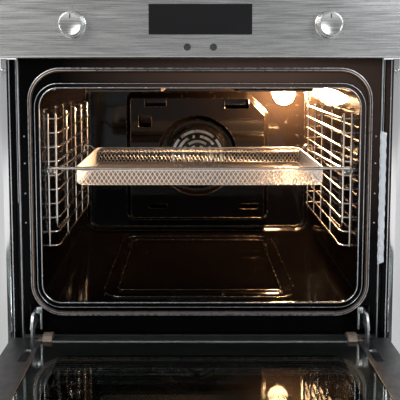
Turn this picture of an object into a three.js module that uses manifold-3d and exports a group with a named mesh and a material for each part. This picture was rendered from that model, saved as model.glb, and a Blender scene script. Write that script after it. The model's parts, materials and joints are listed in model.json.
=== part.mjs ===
// A built-in electric wall oven with its door open, in millimetres.
// X is to the right, Y runs into the oven and Z is up. The shapes are drawn with y = 0 on the
// front plate's face and z = 0 on the shelf; the whole oven is then moved back so that its
// origin is the middle of the housing's underside.

import * as THREE from 'three';
import { mergeVertices } from 'three/addons/utils/BufferGeometryUtils.js';
import Module from 'manifold-3d';

const wasm = await Module();
wasm.setup();

// ---- Driving dimensions ----------------------------------------------------------------

const FIT = 0.3; // gap between pieces that seat on each other
const SHEET = 1; // housing sheet
const GRAIN = 1e-4; // coordinates are rounded to this, so that flush faces are exactly flush

// Front
const FRONT_WIDTH = 595;
const FRONT_HEIGHT = 595;
const FRONT_HALF = FRONT_WIDTH / 2;
const PANEL_HEIGHT = 96;
const PANEL_DEPTH = 20;
const PANEL_WALL = 1.5;
const PANEL_BOTTOM = FRONT_HEIGHT - PANEL_HEIGHT;

// Housing
const HOUSING_HALF = FRONT_HALF - 19.5;
const HOUSING_HEIGHT = FRONT_HEIGHT - 19;
const HOUSING_DEPTH = 545;
const HOUSING_FLANGE = 15;
const STRIP_HEIGHT = 36; // air inlet strip under the door
const RECESS_DEPTH = 14; // room behind the front for the open door's lower edge
const SIDE_LIP_X = FRONT_HALF - 24.7; // outer face of the housing side's forward lip
const SIDE_LIP_FRONT = 0;
const CHANNEL_DEPTH = 16; // rear face of the channel beside the front plate
const VENT_HALF = 3; // half the height of an air slot
const LOUVRES_LOW = [60, 78, 96]; // heights of the air slots in the sides and the back
const LOUVRES_BELOW_TOP = [56, 38];
const LOUVRE_FRONT = HOUSING_DEPTH - 295;
const LOUVRE_BACK = HOUSING_DEPTH - 125;

// Front plate and cavity
const PLATE_HALF = FRONT_HALF - 28.1;
const PLATE_TOP = PANEL_BOTTOM - 1;
const PLATE_BOTTOM = 75;
const PLATE_SHEET = 1.5;
const CAVITY_HALF = FRONT_HALF - 57.5;
const CAVITY_FLOOR = 126;
const CAVITY_CEILING = PLATE_TOP - 36;
const CAVITY_DEPTH = 418;
const CAVITY_RADIUS = 28;
const CAVITY_SHEET = 1.2;
const OPENING_TOP = CAVITY_CEILING - 8;
const BEAD_WIDTH = 9.5; // raised bead round the opening
const BEAD_HEIGHT = 2;
const BEAD_SLOPE = 2.5;
const BEAD_FACET = 1.5;
const REAR_FILLET = 8;

// Embossed floor field
const FIELD_HALF = CAVITY_HALF - 104;
const FIELD_FRONT = 33;
const FIELD_BACK = CAVITY_DEPTH - 88;
const FIELD_SLOPE = 14;
const FIELD_HEIGHT = 4;

// Door seal
const SEAL_OUTER = CAVITY_HALF + 17.7;
const SEAL_WIDTH = 6.4;
const SEAL_BOTTOM = CAVITY_FLOOR - 20;
const SEAL_TOP = PLATE_TOP - 13;
const SEAL_RADIUS = 50;
const SEAL_EDGE = 1.6;

// Side trims
const TRIM_FACE = 8.5;
const TRIM_SHEET = 1.2;
const TRIM_GROOVE = 1.8;
const TRIM_RIB = 1.4;
const TRIM_RETURN = 30;
const TRIM_SCREW_Z = PLATE_TOP - 18;
const TRIM_SCREW_RADIUS = 5;

// Door, drawn closed; the pivot is inside the door, behind its inner face
const DOOR_GAP = 5;
const DOOR_THICKNESS = 36;
const DOOR_BOTTOM = 39;
const DOOR_TOP = PANEL_BOTTOM - 4;
const PIVOT_INSET = 15;
const PIVOT_Z = DOOR_BOTTOM + 19;
const DOOR_OPEN_ANGLE = 90;
const COLUMN_WIDTH = 51;
const COLUMN_OUTER = FRONT_HALF - TRIM_FACE;
const COLUMN_INNER = COLUMN_OUTER - COLUMN_WIDTH;
const COLUMN_WALL = 1.5;
const RAIL_TOP_HEIGHT = 25;
const RAIL_BOTTOM_HEIGHT = 17;
const OUTER_GLASS = 4;
const INNER_GLASS = 4;
const MIDDLE_GLASS = 4;
const MIDDLE_GLASS_INSET = 13;
const GLASS_CLIP_WIDTH = 14;
const GLASS_CLIP_HEIGHT = 9;
const CLIP_RELIEF = 6; // notch in the front plate's lower edge that the clip swings through

// Handle
const HANDLE_LENGTH = FRONT_WIDTH - 115;
const HANDLE_REACH = 34;
const HANDLE_THICK = 12;
const HANDLE_TALL = 22;
const HANDLE_DROP = 40; // bar's middle below the door's top edge
const HANDLE_POST_X = HANDLE_LENGTH / 2 - 25;
const HANDLE_POST = 15;

// Hinges
const HINGE_X = COLUMN_INNER + 14;
const ARM_THICK = 3;
const ARM_WIDTH = 14;
const ARM_TOP = PLATE_BOTTOM + 41;
const ARM_BOTTOM = PLATE_BOTTOM + 17;
const ARM_REACH = 50; // how far the arm runs into its receiver
const PIN_RADIUS = 3;
const PIN_LENGTH = 13.4;
const RECEIVER_WIDTH = 19;
const RECEIVER_BOTTOM = ARM_BOTTOM - 10;
const RECEIVER_TOP = ARM_TOP + 7;
const RECEIVER_DEPTH = 60;
const RECEIVER_SHEET = 1.5;
const HINGE_BODY_WIDTH = 17;
const HINGE_BODY_TOP = PIVOT_Z + 132;
const HINGE_BODY_SHEET = 1.4;
const HINGE_SLOT_WIDTH = 12;
const HINGE_SLOT_TOP = ARM_TOP + 6;
const LOCK_LENGTH = 20;
const LOCK_WIDTH = 8;
const LOCK_THICK = 2;
const LOCK_PIVOT_Y = -6;
const LOCK_PIVOT_Z = ARM_TOP - 10;
const LOCK_LEAN = 25; // degrees forward of hanging straight down
const LOCK_PIN_RADIUS = 2;

// Side racks
const RACK_X = CAVITY_HALF - 20.5;
const RACK_WIRE = 1.8;
const RACK_POST = 2.3;
const RACK_WELD = 1.6; // how deep the crossing wires are welded into each other
const RACK_TOP = CAVITY_CEILING - 55.5;
const RACK_PITCH = 22.1;
const RACK_LEVELS = 10;
const RACK_FRONT = 25;
const RACK_BACK = CAVITY_DEPTH - 92;
const RACK_BEND = 9;
const RACK_POST_DEPTHS = [RACK_FRONT, 108, 186, 249, RACK_BACK - 8];
const RACK_WALL_POST_X = CAVITY_HALF - 6;
const RACK_FOOT_BEND = 14;
const RACK_POST_OVER = 9; // posts stand above the top wire
const STUD_Z = RACK_TOP - 80.5;
const STUD_RADIUS = 6;
const STUD_HEAD = 7; // head's inner face from the wall post's middle
const EYE_RADIUS = 8;
const EYE_FRONT = 1;
const EYE_BACK = 1.4;

// Air-fry basket
const BASKET_LEVEL = 4; // counted from the top wire, which is 0
const BASKET_ROD_HALF = CAVITY_HALF - 10;
const BASKET_ROD_RADIUS = 2.6;
const BASKET_SLEEVE_RADIUS = 3.2;
const BASKET_SLEEVE_INNER = BASKET_ROD_HALF - 73;
const BASKET_FRONT = RACK_FRONT - 10;
const BASKET_BACK = RACK_BACK - 74;
const BASKET_SIDE_X = RACK_X - 2;
const BASKET_SIDE_RADIUS = 2.2;
const BASKET_FOOT_RADIUS = 1.6;
const BASKET_FOOT_FRONT = BASKET_FRONT + 29;
const BASKET_FOOT_BACK = BASKET_FRONT + 45;
const BASKET_ROD_LIFT = 13; // front rod's middle above the rack wire
const BASKET_HALF = CAVITY_HALF - 48;
const BASKET_HEIGHT = 28;
const BASKET_RADIUS = 16;
const BASKET_WALL = 1.6;
const BASKET_RIM = 2;
const BASKET_RIM_WIDTH = 3;
const BASKET_FOOT_ROUND = 6; // rounding of the pan's lower edge
const BASKET_HOOK = 8;

// Fan cover on the back wall
const FAN_X = 0;
const FAN_Z = (CAVITY_FLOOR + CAVITY_CEILING) / 2;
const COVER_HALF = 142;
const COVER_BOTTOM = CAVITY_FLOOR + 34;
const COVER_TOP = CAVITY_CEILING - 45;
const COVER_CHAMFER = 38;
const COVER_DEPTH = 32;
const COVER_SHOULDER = 12;
const COVER_SHEET = 1.2;
const COVER_CORNER = 8;
const DISH_RADIUS = 86;
const DISH_FLOOR_RADIUS = 75;
const DISH_DEPTH = 5;
const GRILLE_RADIUS = 60;
const GRILLE_RISE = 3;
const SLOT_RADII = [19.5, 30.3, 41.1, 51.9];
const SLOT_WIDTH = 5.6;
const SLOTS_PER_RING = 4;
const SLOT_BRIDGE = 9;
const COVER_VENTS = [ // [x0, x1, z0, z1]
  [52, 100, COVER_TOP - 21, COVER_TOP - 5],
  [-112, -68, COVER_TOP - 20, COVER_TOP - 5],
  [-126, -108, COVER_TOP - 63, COVER_TOP - 39],
  [-104, -70, COVER_BOTTOM + 18, COVER_BOTTOM + 27],
  [82, 120, COVER_BOTTOM + 18, COVER_BOTTOM + 28],
];
const VENT_CORNER = 2.5;

// Fan, ring element and motor
const FAN_RADIUS = 65;
const FAN_BLADES = 8;
const FAN_BLADE_DEPTH = 14;
const FAN_BLADE_THICK = 1.4;
const FAN_PLATE = 1.4;
const FAN_BACK_GAP = 4;
const FAN_BLADE_INNER = 22;
const FAN_HUB_RADIUS = 11;
const FAN_HUB_LENGTH = 9;
const FAN_WINDOW_RADIUS = 6;
const FAN_WINDOW_RING = 40;
const SHAFT_RADIUS = 4;
const SHAFT_LENGTH = 58;
const SHAFT_HOLE = 8;
const RING_RADIUS = 76;
const TUBE_RADIUS = 3.2;
const RING_LEAD_X = 14;
const LEAD_LENGTH = 24; // element leads behind the back wall
const MOTOR_RADIUS = 34;
const MOTOR_FRONT = 30; // stator's front face behind the cavity's back wall
const MOTOR_LENGTH = 46;
const MOTOR_LEG = 10;
const MOTOR_PLATE_HALF = 46;
const MOTOR_PLATE_TALL = 40;
const MOTOR_PLATE_SHEET = 2;

// Grill and floor elements
const GRILL_HALF = CAVITY_HALF - 60;
const GRILL_FRONT = 60;
const GRILL_BACK = CAVITY_DEPTH - 68;
const GRILL_TAIL = GRILL_BACK + 25; // the cross run behind the legs
const GRILL_BEND = 12;
const GRILL_HOOK = 4;
const GRILL_DROP = 13;
const GRILL_LEGS = 4;
const GRILL_LEAD_X = 36;
const FLOOR_ELEMENT_HALF = CAVITY_HALF - 70;
const FLOOR_ELEMENT_FRONT = 70;
const FLOOR_ELEMENT_LEAD_X = 40;

// Lamp
const LAMP_X = CAVITY_HALF - 54;
const LAMP_Z = CAVITY_CEILING - 38;
const LAMP_RADIUS = 20;
const LAMP_FLANGE = 24;
const LAMP_DOME = 19;
const LAMP_GLASS = 2;
const LAMP_SOCKET_DEPTH = 26;
const BULB_RADIUS = 8;

// Insulation
const SHELF_Z = PLATE_TOP;
const WOOL_HALF = HOUSING_HALF - 5;
const WOOL_BOTTOM = CAVITY_FLOOR - 28;
const WOOL_TOP = SHELF_Z - 8;
const WOOL_FRONT = 20;
const WOOL_BACK = CAVITY_DEPTH + 52;
const WOOL_CORNER = 20;
const WOOL_FLOOR_SPACE = 13;
const WOOL_WINDOW = 62;

// Cooling blower above the cavity
const ROTOR_RADIUS = 22;
const ROTOR_LENGTH = 230;
const ROTOR_BLADES = 8;
const BLOWER_Y = 170;
const BLOWER_Z = SHELF_Z + 31;
const BLOWER_CLEARANCE = 4;
const BLOWER_MOTOR_RADIUS = 20;
const BLOWER_MOTOR_LENGTH = 34;

// Controls
const KNOB_X = FRONT_HALF - 112.5;
const KNOB_Z = PANEL_BOTTOM + 48;
const KNOB_RADIUS = 20;
const KNOB_LENGTH = 20;
const KNOB_SHAFT_RADIUS = 3;
const SELECTOR_RADIUS = 15;
const SELECTOR_LENGTH = 18;
const DISPLAY_WIDTH = 150;
const DISPLAY_BOTTOM = PANEL_BOTTOM + 34;
const DISPLAY_TOP = DISPLAY_BOTTOM + 44;
const BUTTON_SPACING = 38;
const BUTTON_Z = PANEL_BOTTOM + 16;
const BUTTON_RADIUS = 5;
const BUTTON_TRAVEL = 1.2;
const BUTTON_STAND = 1.8;
const BOARD_HALF = 95;
const BOARD_THICK = 1.6;

// Mains terminal on the back
const TERMINAL_WIDTH = 74;
const TERMINAL_HEIGHT = 52;
const TERMINAL_DEPTH = 18;
const TERMINAL_X = 88 - HOUSING_HALF;
const TERMINAL_Z = SHELF_Z + 2;

// ---- Sizes that follow ------------------------------------------------------------------

const DOOR_INNER = -DOOR_GAP;
const DOOR_OUTER = -DOOR_GAP - DOOR_THICKNESS;
const PIVOT_Y = DOOR_INNER - PIVOT_INSET;
const FRAME_OUTER = DOOR_OUTER + OUTER_GLASS + FIT;
const RAIL_HALF = COLUMN_INNER - FIT;
const SHELL_FRONT = PLATE_SHEET + FIT;
const SHELL_END = CAVITY_DEPTH + 6;
const BASKET_WIRE_Z = RACK_TOP - BASKET_LEVEL * RACK_PITCH;
const BASKET_SEAT_Z = BASKET_WIRE_Z + RACK_WIRE * Math.SQRT1_2 + FIT;
const BASKET_SIDE_Z = BASKET_SEAT_Z + BASKET_SIDE_RADIUS;
const BASKET_ROD_Z = BASKET_WIRE_Z + BASKET_ROD_LIFT;
const BOARD_FRONT = -PANEL_DEPTH + PANEL_WALL + 4.6;
const HINGE_SLOT_BOTTOM = PIVOT_Z - 10;

const degrees = (angle) => THREE.MathUtils.degToRad(angle);

// ---- Solids -----------------------------------------------------------------------------

// Six times the volume inside a closed mesh, below zero where its faces point inwards.
function signedVolume(positions, triangles) {
  const corner = (i) => new THREE.Vector3().fromArray(positions, 3 * triangles[i]);
  let sum = 0;
  for (let i = 0; i < triangles.length; i += 3) {
    sum += corner(i).dot(corner(i + 1).cross(corner(i + 2)));
  }
  return sum;
}

// A manifold solid from any closed three.js geometry, whichever way round it was drawn.
function solid(geometry) {
  const bare = geometry.clone();
  for (const name of Object.keys(bare.attributes)) {
    if (name !== 'position') bare.deleteAttribute(name);
  }
  const places = bare.attributes.position.array;
  places.forEach((value, i) => { places[i] = Math.round(value / GRAIN) * GRAIN; });
  const merged = mergeVertices(bare, GRAIN / 2);
  const index = merged.index.array;
  const triangles = [];
  for (let i = 0; i < index.length; i += 3) {
    const [a, b, c] = [index[i], index[i + 1], index[i + 2]];
    if (a !== b && b !== c && c !== a) triangles.push(a, b, c);
  }
  if (signedVolume(merged.attributes.position.array, triangles) < 0) triangles.reverse();
  return new wasm.Manifold(new wasm.Mesh({
    numProp: 3,
    vertProperties: new Float32Array(merged.attributes.position.array),
    triVerts: new Uint32Array(triangles),
  }));
}

function geometryOf(manifold) {
  const mesh = manifold.getMesh();
  const geometry = new THREE.BufferGeometry();
  geometry.setAttribute('position', new THREE.BufferAttribute(mesh.vertProperties, 3));
  geometry.setIndex(new THREE.BufferAttribute(mesh.triVerts, 1));
  geometry.computeVertexNormals();
  return geometry;
}

function join(...geometries) {
  return geometryOf(geometries.map(solid).reduce((whole, piece) => whole.add(piece)));
}

function cut(geometry, ...tools) {
  return geometryOf(tools.map(solid).reduce((left, tool) => left.subtract(tool), solid(geometry)));
}

function common(first, second) {
  return geometryOf(solid(first).intersect(solid(second)));
}

// The same piece for the other side of the oven.
function mirrored(geometry) {
  return geometryOf(solid(geometry.clone().scale(-1, 1, 1)));
}

function block(x0, x1, y0, y1, z0, z1) {
  const geometry = new THREE.BoxGeometry(x1 - x0, y1 - y0, z1 - z0);
  return geometry.translate((x0 + x1) / 2, (y0 + y1) / 2, (z0 + z1) / 2);
}

// Prisms of an outline: drawn in X-Z and run along Y, in Y-Z along X, or in X-Y along Z.
function alongY(outline, y0, y1, options = {}) {
  const geometry = extrude(outline, y1 - y0, options);
  return geometry.rotateX(Math.PI / 2).translate(0, y1, 0);
}

function alongX(outline, x0, x1, options = {}) {
  const turn = new THREE.Matrix4().makeBasis(
    new THREE.Vector3(0, 1, 0), new THREE.Vector3(0, 0, 1), new THREE.Vector3(1, 0, 0));
  return extrude(outline, x1 - x0, options).applyMatrix4(turn).translate(x0, 0, 0);
}

function alongZ(outline, z0, z1, options = {}) {
  return extrude(outline, z1 - z0, options).translate(0, 0, z0);
}

function extrude(outline, depth, options) {
  return new THREE.ExtrudeGeometry(outline, { depth, bevelEnabled: false, curveSegments: 4, ...options });
}

function cylinderY(radius, y0, y1, x, z, sides = 28) {
  const geometry = new THREE.CylinderGeometry(radius, radius, y1 - y0, sides);
  return geometry.translate(x, (y0 + y1) / 2, z);
}

function standing(geometry, x, z) {
  return geometry.translate(x, 0, z);
}

function cylinderX(radius, x0, x1, y, z, sides = 20) {
  const geometry = new THREE.CylinderGeometry(radius, radius, x1 - x0, sides);
  return geometry.rotateZ(Math.PI / 2).translate((x0 + x1) / 2, y, z);
}

// A solid of revolution about the Y axis through (x, z); the profile is [radius, y] points.
function revolved(profile, x, z, sides = 32) {
  const points = profile.map(([radius, y]) => new THREE.Vector2(radius, y));
  return geometryOf(solid(standing(new THREE.LatheGeometry(points, sides), x, z)));
}

function polygon(points) {
  return new THREE.Shape(points.map(([x, y]) => new THREE.Vector2(x, y)));
}

function roundedRectangle(x0, x1, y0, y1, radius) {
  const shape = new THREE.Shape();
  shape.absarc(x1 - radius, y1 - radius, radius, 0, Math.PI / 2);
  shape.absarc(x0 + radius, y1 - radius, radius, Math.PI / 2, Math.PI);
  shape.absarc(x0 + radius, y0 + radius, radius, Math.PI, 1.5 * Math.PI);
  shape.absarc(x1 - radius, y0 + radius, radius, 1.5 * Math.PI, 2 * Math.PI);
  return shape;
}

// The section of a bent sheet whose middle line runs through the points.
function bentSheet(points, thickness) {
  const middle = points.map(([x, y]) => new THREE.Vector2(x, y));
  const offset = (side) => middle.map((point, i) => {
    const before = i > 0 ? point.clone().sub(middle[i - 1]).normalize() : null;
    const after = i < middle.length - 1 ? middle[i + 1].clone().sub(point).normalize() : null;
    const along = (before ?? after).clone().add(after ?? before).normalize();
    const stretch = along.dot(after ?? before);
    const reach = (side * thickness) / 2 / stretch;
    return new THREE.Vector2(point.x - along.y * reach, point.y + along.x * reach);
  });
  return new THREE.Shape([...offset(1), ...offset(-1).reverse()]);
}

// A wire's centre line: straight runs between stations, with the section square to the run.
class WirePath extends THREE.Curve {
  constructor(stations) {
    super();
    this.stations = stations;
  }

  getPoint(t) {
    const place = t * (this.stations.length - 1);
    const i = Math.min(Math.floor(place), this.stations.length - 2);
    return this.stations[i].clone().lerp(this.stations[i + 1], place - i);
  }

  getPointAt(t) {
    return this.getPoint(t);
  }

  getTangentAt(t) {
    const i = Math.round(t * (this.stations.length - 1));
    const here = this.stations[i];
    const tangent = new THREE.Vector3();
    if (i > 0) tangent.add(here.clone().sub(this.stations[i - 1]).normalize());
    if (i < this.stations.length - 1) tangent.add(this.stations[i + 1].clone().sub(here).normalize());
    return tangent.normalize();
  }
}

// Stations along a line whose corners are bent to a radius.
function bendCorners(corners, radius, steps = 2) {
  const points = corners.map(([x, y, z]) => new THREE.Vector3(x, y, z));
  const stations = [points[0]];
  for (let i = 1; i < points.length - 1; i++) {
    const back = points[i - 1].clone().sub(points[i]).normalize();
    const ahead = points[i + 1].clone().sub(points[i]).normalize();
    const reach = radius / Math.tan(back.angleTo(ahead) / 2);
    const curve = new THREE.QuadraticBezierCurve3(
      points[i].clone().addScaledVector(back, reach),
      points[i],
      points[i].clone().addScaledVector(ahead, reach));
    stations.push(...curve.getPoints(steps));
  }
  stations.push(points[points.length - 1]);
  return stations;
}

function wireThrough(stations, radius, sides = 6) {
  const section = new THREE.Shape();
  for (let i = 0; i < sides; i++) {
    const angle = ((i + 0.5) / sides) * 2 * Math.PI;
    const method = i === 0 ? 'moveTo' : 'lineTo';
    section[method](radius * Math.cos(angle), radius * Math.sin(angle));
  }
  section.closePath();
  return new THREE.ExtrudeGeometry(section, {
    steps: stations.length - 1,
    bevelEnabled: false,
    extrudePath: new WirePath(stations),
  });
}

function wire(corners, radius, bend = 0, sides = 6) {
  const stations = bend > 0
    ? bendCorners(corners, bend)
    : corners.map(([x, y, z]) => new THREE.Vector3(x, y, z));
  return wireThrough(stations, radius, sides);
}

// Slots in a row along X, as tools that cut through a sheet.
function slotRow(count, pitch, width, x, makeSlot) {
  return Array.from({ length: count }, (_, i) => {
    const middle = x + (i - (count - 1) / 2) * pitch;
    return makeSlot(middle - width / 2, middle + width / 2);
  });
}

// ---- Materials --------------------------------------------------------------------------

function material(color, roughness, metalness, more = {}) {
  return new THREE.MeshStandardMaterial({ color, roughness, metalness, flatShading: true, ...more });
}

const ENAMEL = material(0x17140f, 0.25, 0.1);
const ZINC = material(0xa7abad, 0.45, 0.9);
const STAINLESS = material(0xc3c6c8, 0.3, 1);
const CHROME = material(0xd8d8da, 0.12, 1);
const STEEL = material(0x8e8f90, 0.4, 1);
const SEAL = material(0x55555a, 0.8, 0);
const WOOL = material(0xc9bd9a, 0.95, 0);
const BLACK_GLASS = material(0x0b0c0e, 0.05, 0);
const CLEAR_GLASS = material(0x9fb2a8, 0.05, 0, { transparent: true, opacity: 0.35 });
const PLASTIC = material(0x1b1c1e, 0.5, 0);
const BOARD = material(0x1f5a37, 0.6, 0);
const CERAMIC = material(0xe9e2d2, 0.6, 0);
const BULB = material(0xffe2a8, 0.1, 0, { emissive: 0xffb45c });
const ALUMINIUM = material(0xb9bcbe, 0.35, 1);
const BRONZE = material(0x9a7a45, 0.4, 0.8);

// ---- Housing ----------------------------------------------------------------------------

function housingBase() {
  const half = HOUSING_HALF - SHEET - FIT;
  const front = SIDE_LIP_X - SHEET - FIT;
  const shoulder = CHANNEL_DEPTH + FIT;
  const rear = HOUSING_DEPTH - 2 * SHEET - 2 * FIT;
  const middle = SHEET / 2;
  const bottom = alongZ(polygon([
    [-front, 0], [front, 0], [front, shoulder], [half, shoulder], [half, rear],
    [-half, rear], [-half, shoulder], [-front, shoulder],
  ]), 0, SHEET);
  const strip = alongX(bentSheet([
    [middle, middle],
    [middle, STRIP_HEIGHT - middle],
    [RECESS_DEPTH - middle, STRIP_HEIGHT - middle],
    [RECESS_DEPTH - middle, PLATE_BOTTOM - FIT],
  ], SHEET), -front, front);
  const rearFlange = block(-half, half, rear - SHEET, rear, middle, HOUSING_FLANGE);
  const flange = block(half - SHEET, half, shoulder, rear - middle, middle, HOUSING_FLANGE);
  const pitch = HOUSING_HALF / 4;
  const inlets = slotRow(7, pitch, 0.75 * pitch, 0, (x0, x1) =>
    block(x0, x1, -SHEET, 2 * SHEET, STRIP_HEIGHT / 2 - VENT_HALF, STRIP_HEIGHT / 2 + VENT_HALF));
  const vents = [0.37 * HOUSING_DEPTH, 0.62 * HOUSING_DEPTH].flatMap((y) =>
    slotRow(3, 1.6 * pitch, 1.15 * pitch, 0, (x0, x1) =>
      block(x0, x1, y - VENT_HALF, y + VENT_HALF, -SHEET, 2 * SHEET)));
  return cut(join(bottom, strip, rearFlange, flange, mirrored(flange)), ...inlets, ...vents);
}

function housingSide() {
  const skin = HOUSING_HALF - SHEET / 2;
  const rear = HOUSING_DEPTH - SHEET - FIT - SHEET / 2;
  const side = alongZ(bentSheet([
    [HOUSING_HALF - HOUSING_FLANGE, rear],
    [skin, rear],
    [skin, CHANNEL_DEPTH - SHEET / 2],
    [SIDE_LIP_X - SHEET / 2, CHANNEL_DEPTH - SHEET / 2],
    [SIDE_LIP_X - SHEET / 2, SIDE_LIP_FRONT],
  ], SHEET), 0, HOUSING_HEIGHT - SHEET - FIT);
  const heights = [...LOUVRES_LOW, ...LOUVRES_BELOW_TOP.map((drop) => HOUSING_HEIGHT - drop)];
  const vents = heights.map((z) => block(HOUSING_HALF - 2 * SHEET, HOUSING_HALF + SHEET,
    LOUVRE_FRONT, LOUVRE_BACK, z - VENT_HALF, z + VENT_HALF));
  return cut(side, ...vents);
}

function housingBack() {
  const sheet = block(-HOUSING_HALF, HOUSING_HALF, HOUSING_DEPTH - SHEET, HOUSING_DEPTH,
    SHEET, HOUSING_HEIGHT - SHEET - FIT);
  const pitch = 0.4 * HOUSING_HALF;
  const vents = LOUVRES_LOW.flatMap((z) => slotRow(4, pitch, 0.73 * pitch, 0, (x0, x1) =>
    block(x0, x1, HOUSING_DEPTH - 2 * SHEET, HOUSING_DEPTH + SHEET, z - VENT_HALF, z + VENT_HALF)));
  return cut(sheet, ...vents);
}

function housingTop() {
  const sheet = block(-HOUSING_HALF, HOUSING_HALF, SIDE_LIP_FRONT, HOUSING_DEPTH,
    HOUSING_HEIGHT - SHEET, HOUSING_HEIGHT);
  const lip = block(-SIDE_LIP_X + 3, SIDE_LIP_X - 3, SIDE_LIP_FRONT, SIDE_LIP_FRONT + SHEET,
    HOUSING_HEIGHT - HOUSING_FLANGE, HOUSING_HEIGHT - SHEET / 2);
  const pitch = ROTOR_LENGTH / 5;
  const vents = [BLOWER_Y - ROTOR_RADIUS, BLOWER_Y, BLOWER_Y + ROTOR_RADIUS].flatMap((y) =>
    slotRow(5, pitch, 0.76 * pitch, 0, (x0, x1) =>
      block(x0, x1, y - VENT_HALF, y + VENT_HALF, HOUSING_HEIGHT - 2 * SHEET, HOUSING_HEIGHT + SHEET)));
  return cut(join(sheet, lip), ...vents);
}

// Sheet over the insulation that carries the blower and closes the control space.
function blowerShelf() {
  const half = HOUSING_HALF - SHEET - FIT;
  const rear = HOUSING_DEPTH - 2 * SHEET - 2 * FIT - SHEET / 2;
  const middle = SHELF_Z + FIT + SHEET / 2;
  return alongX(bentSheet([
    [CHANNEL_DEPTH + FIT, middle],
    [rear, middle],
    [rear, middle + HOUSING_FLANGE],
  ], SHEET), -half, half);
}

// ---- Front plate, seal and trims --------------------------------------------------------

function openingOutline(grow) {
  return roundedRectangle(-CAVITY_HALF - grow, CAVITY_HALF + grow, CAVITY_FLOOR - grow,
    OPENING_TOP + grow, CAVITY_RADIUS + grow);
}

function openingBead() {
  const outline = openingOutline(BEAD_WIDTH - BEAD_SLOPE);
  outline.holes.push(openingOutline(BEAD_SLOPE));
  const ring = alongY(outline, -BEAD_HEIGHT + BEAD_FACET, PLATE_SHEET - BEAD_FACET,
    { bevelEnabled: true, bevelSize: BEAD_SLOPE, bevelThickness: BEAD_FACET, bevelSegments: 1 });
  return common(ring, block(-FRONT_HALF, FRONT_HALF, -BEAD_HEIGHT, PLATE_SHEET, 0, FRONT_HEIGHT));
}

function frontPlate() {
  const sheet = alongY(roundedRectangle(-PLATE_HALF, PLATE_HALF, PLATE_BOTTOM, PLATE_TOP, 1),
    0, PLATE_SHEET);
  const rear = CHANNEL_DEPTH + FIT + SHEET / 2;
  const fold = PLATE_HALF - SHEET / 2;
  const flange = alongZ(bentSheet([
    [fold, PLATE_SHEET / 2],
    [fold, rear],
    [HOUSING_HALF - SHEET - FIT, rear],
  ], SHEET), PLATE_BOTTOM + 2, PLATE_TOP - 2);
  const bottom = block(-PLATE_HALF + 1, PLATE_HALF - 1, PLATE_SHEET / 2, CHANNEL_DEPTH,
    PLATE_BOTTOM, PLATE_BOTTOM + SHEET);
  const top = block(-PLATE_HALF + 1, PLATE_HALF - 1, PLATE_SHEET / 2, CHANNEL_DEPTH + 8,
    PLATE_TOP - SHEET, PLATE_TOP);
  const opening = alongY(openingOutline(0), -10, 10);
  const slot = block(HINGE_X - RECEIVER_WIDTH / 2 + 0.5, HINGE_X + RECEIVER_WIDTH / 2 - 0.5,
    -1, PLATE_SHEET + 1, RECEIVER_BOTTOM + 2, RECEIVER_TOP - 2);
  const holed = cut(sheet, opening, slot, mirrored(slot));
  const relief = block(COLUMN_INNER - GLASS_CLIP_WIDTH - 4 * FIT, COLUMN_INNER + 2 * FIT,
    -1, CLIP_RELIEF - 1, PLATE_BOTTOM - 1, PLATE_BOTTOM + CLIP_RELIEF);
  return cut(join(holed, cut(openingBead(), opening), flange, mirrored(flange), bottom, top),
    relief, mirrored(relief));
}

function doorSeal() {
  const outline = (inset) => roundedRectangle(-SEAL_OUTER + inset, SEAL_OUTER - inset,
    SEAL_BOTTOM + inset, SEAL_TOP - inset, SEAL_RADIUS - inset);
  const ring = outline(SEAL_EDGE);
  ring.holes.push(outline(SEAL_WIDTH - SEAL_EDGE));
  return alongY(ring, DOOR_INNER + FIT + SEAL_EDGE, -FIT - SEAL_EDGE,
    { bevelEnabled: true, bevelSize: SEAL_EDGE, bevelThickness: SEAL_EDGE, bevelSegments: 1 });
}

function sideTrim() {
  const groove = FRONT_HALF - TRIM_FACE;
  const rib = groove - TRIM_GROOVE;
  const web = rib - TRIM_RIB;
  const inner = HOUSING_HALF + FIT;
  const section = polygon([
    [FRONT_HALF, 0], [groove, 0], [groove, 0.8], [rib, 0.8], [rib, 0], [web, 0],
    [web, TRIM_SHEET], [inner, TRIM_SHEET], [inner, TRIM_RETURN],
    [inner + TRIM_SHEET, TRIM_RETURN], [inner + TRIM_SHEET, 2 * TRIM_SHEET],
    [FRONT_HALF, 2 * TRIM_SHEET],
  ]);
  const hole = cylinderY(TRIM_SCREW_RADIUS / 2, -1, 3 * TRIM_SHEET,
    FRONT_HALF - TRIM_FACE / 2, TRIM_SCREW_Z, 14);
  return cut(alongZ(section, 2, PLATE_TOP), hole);
}

// Pan-head screw through the trim into the cabinet's edge.
function mountingScrew() {
  const shank = TRIM_SCREW_RADIUS / 2 - FIT;
  const head = Math.min(TRIM_SCREW_RADIUS, TRIM_FACE / 2);
  const body = revolved([
    [0, 20], [shank, 16], [shank, -FIT], [head, -FIT], [head, -1.4], [head - 1.2, -2.6], [0, -3],
  ], FRONT_HALF - TRIM_FACE / 2, TRIM_SCREW_Z, 12);
  const slotLong = block(FRONT_HALF - TRIM_FACE / 2 - 2.6, FRONT_HALF - TRIM_FACE / 2 + 2.6,
    -4, -1.8, TRIM_SCREW_Z - 0.5, TRIM_SCREW_Z + 0.5);
  const slotTall = block(FRONT_HALF - TRIM_FACE / 2 - 0.5, FRONT_HALF - TRIM_FACE / 2 + 0.5,
    -4, -1.8, TRIM_SCREW_Z - 2.6, TRIM_SCREW_Z + 2.6);
  return cut(body, slotLong, slotTall);
}

// ---- Cavity -----------------------------------------------------------------------------

function shellOutline(grow) {
  return roundedRectangle(-CAVITY_HALF - grow, CAVITY_HALF + grow, CAVITY_FLOOR - grow,
    CAVITY_CEILING + grow, CAVITY_RADIUS + grow);
}

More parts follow.
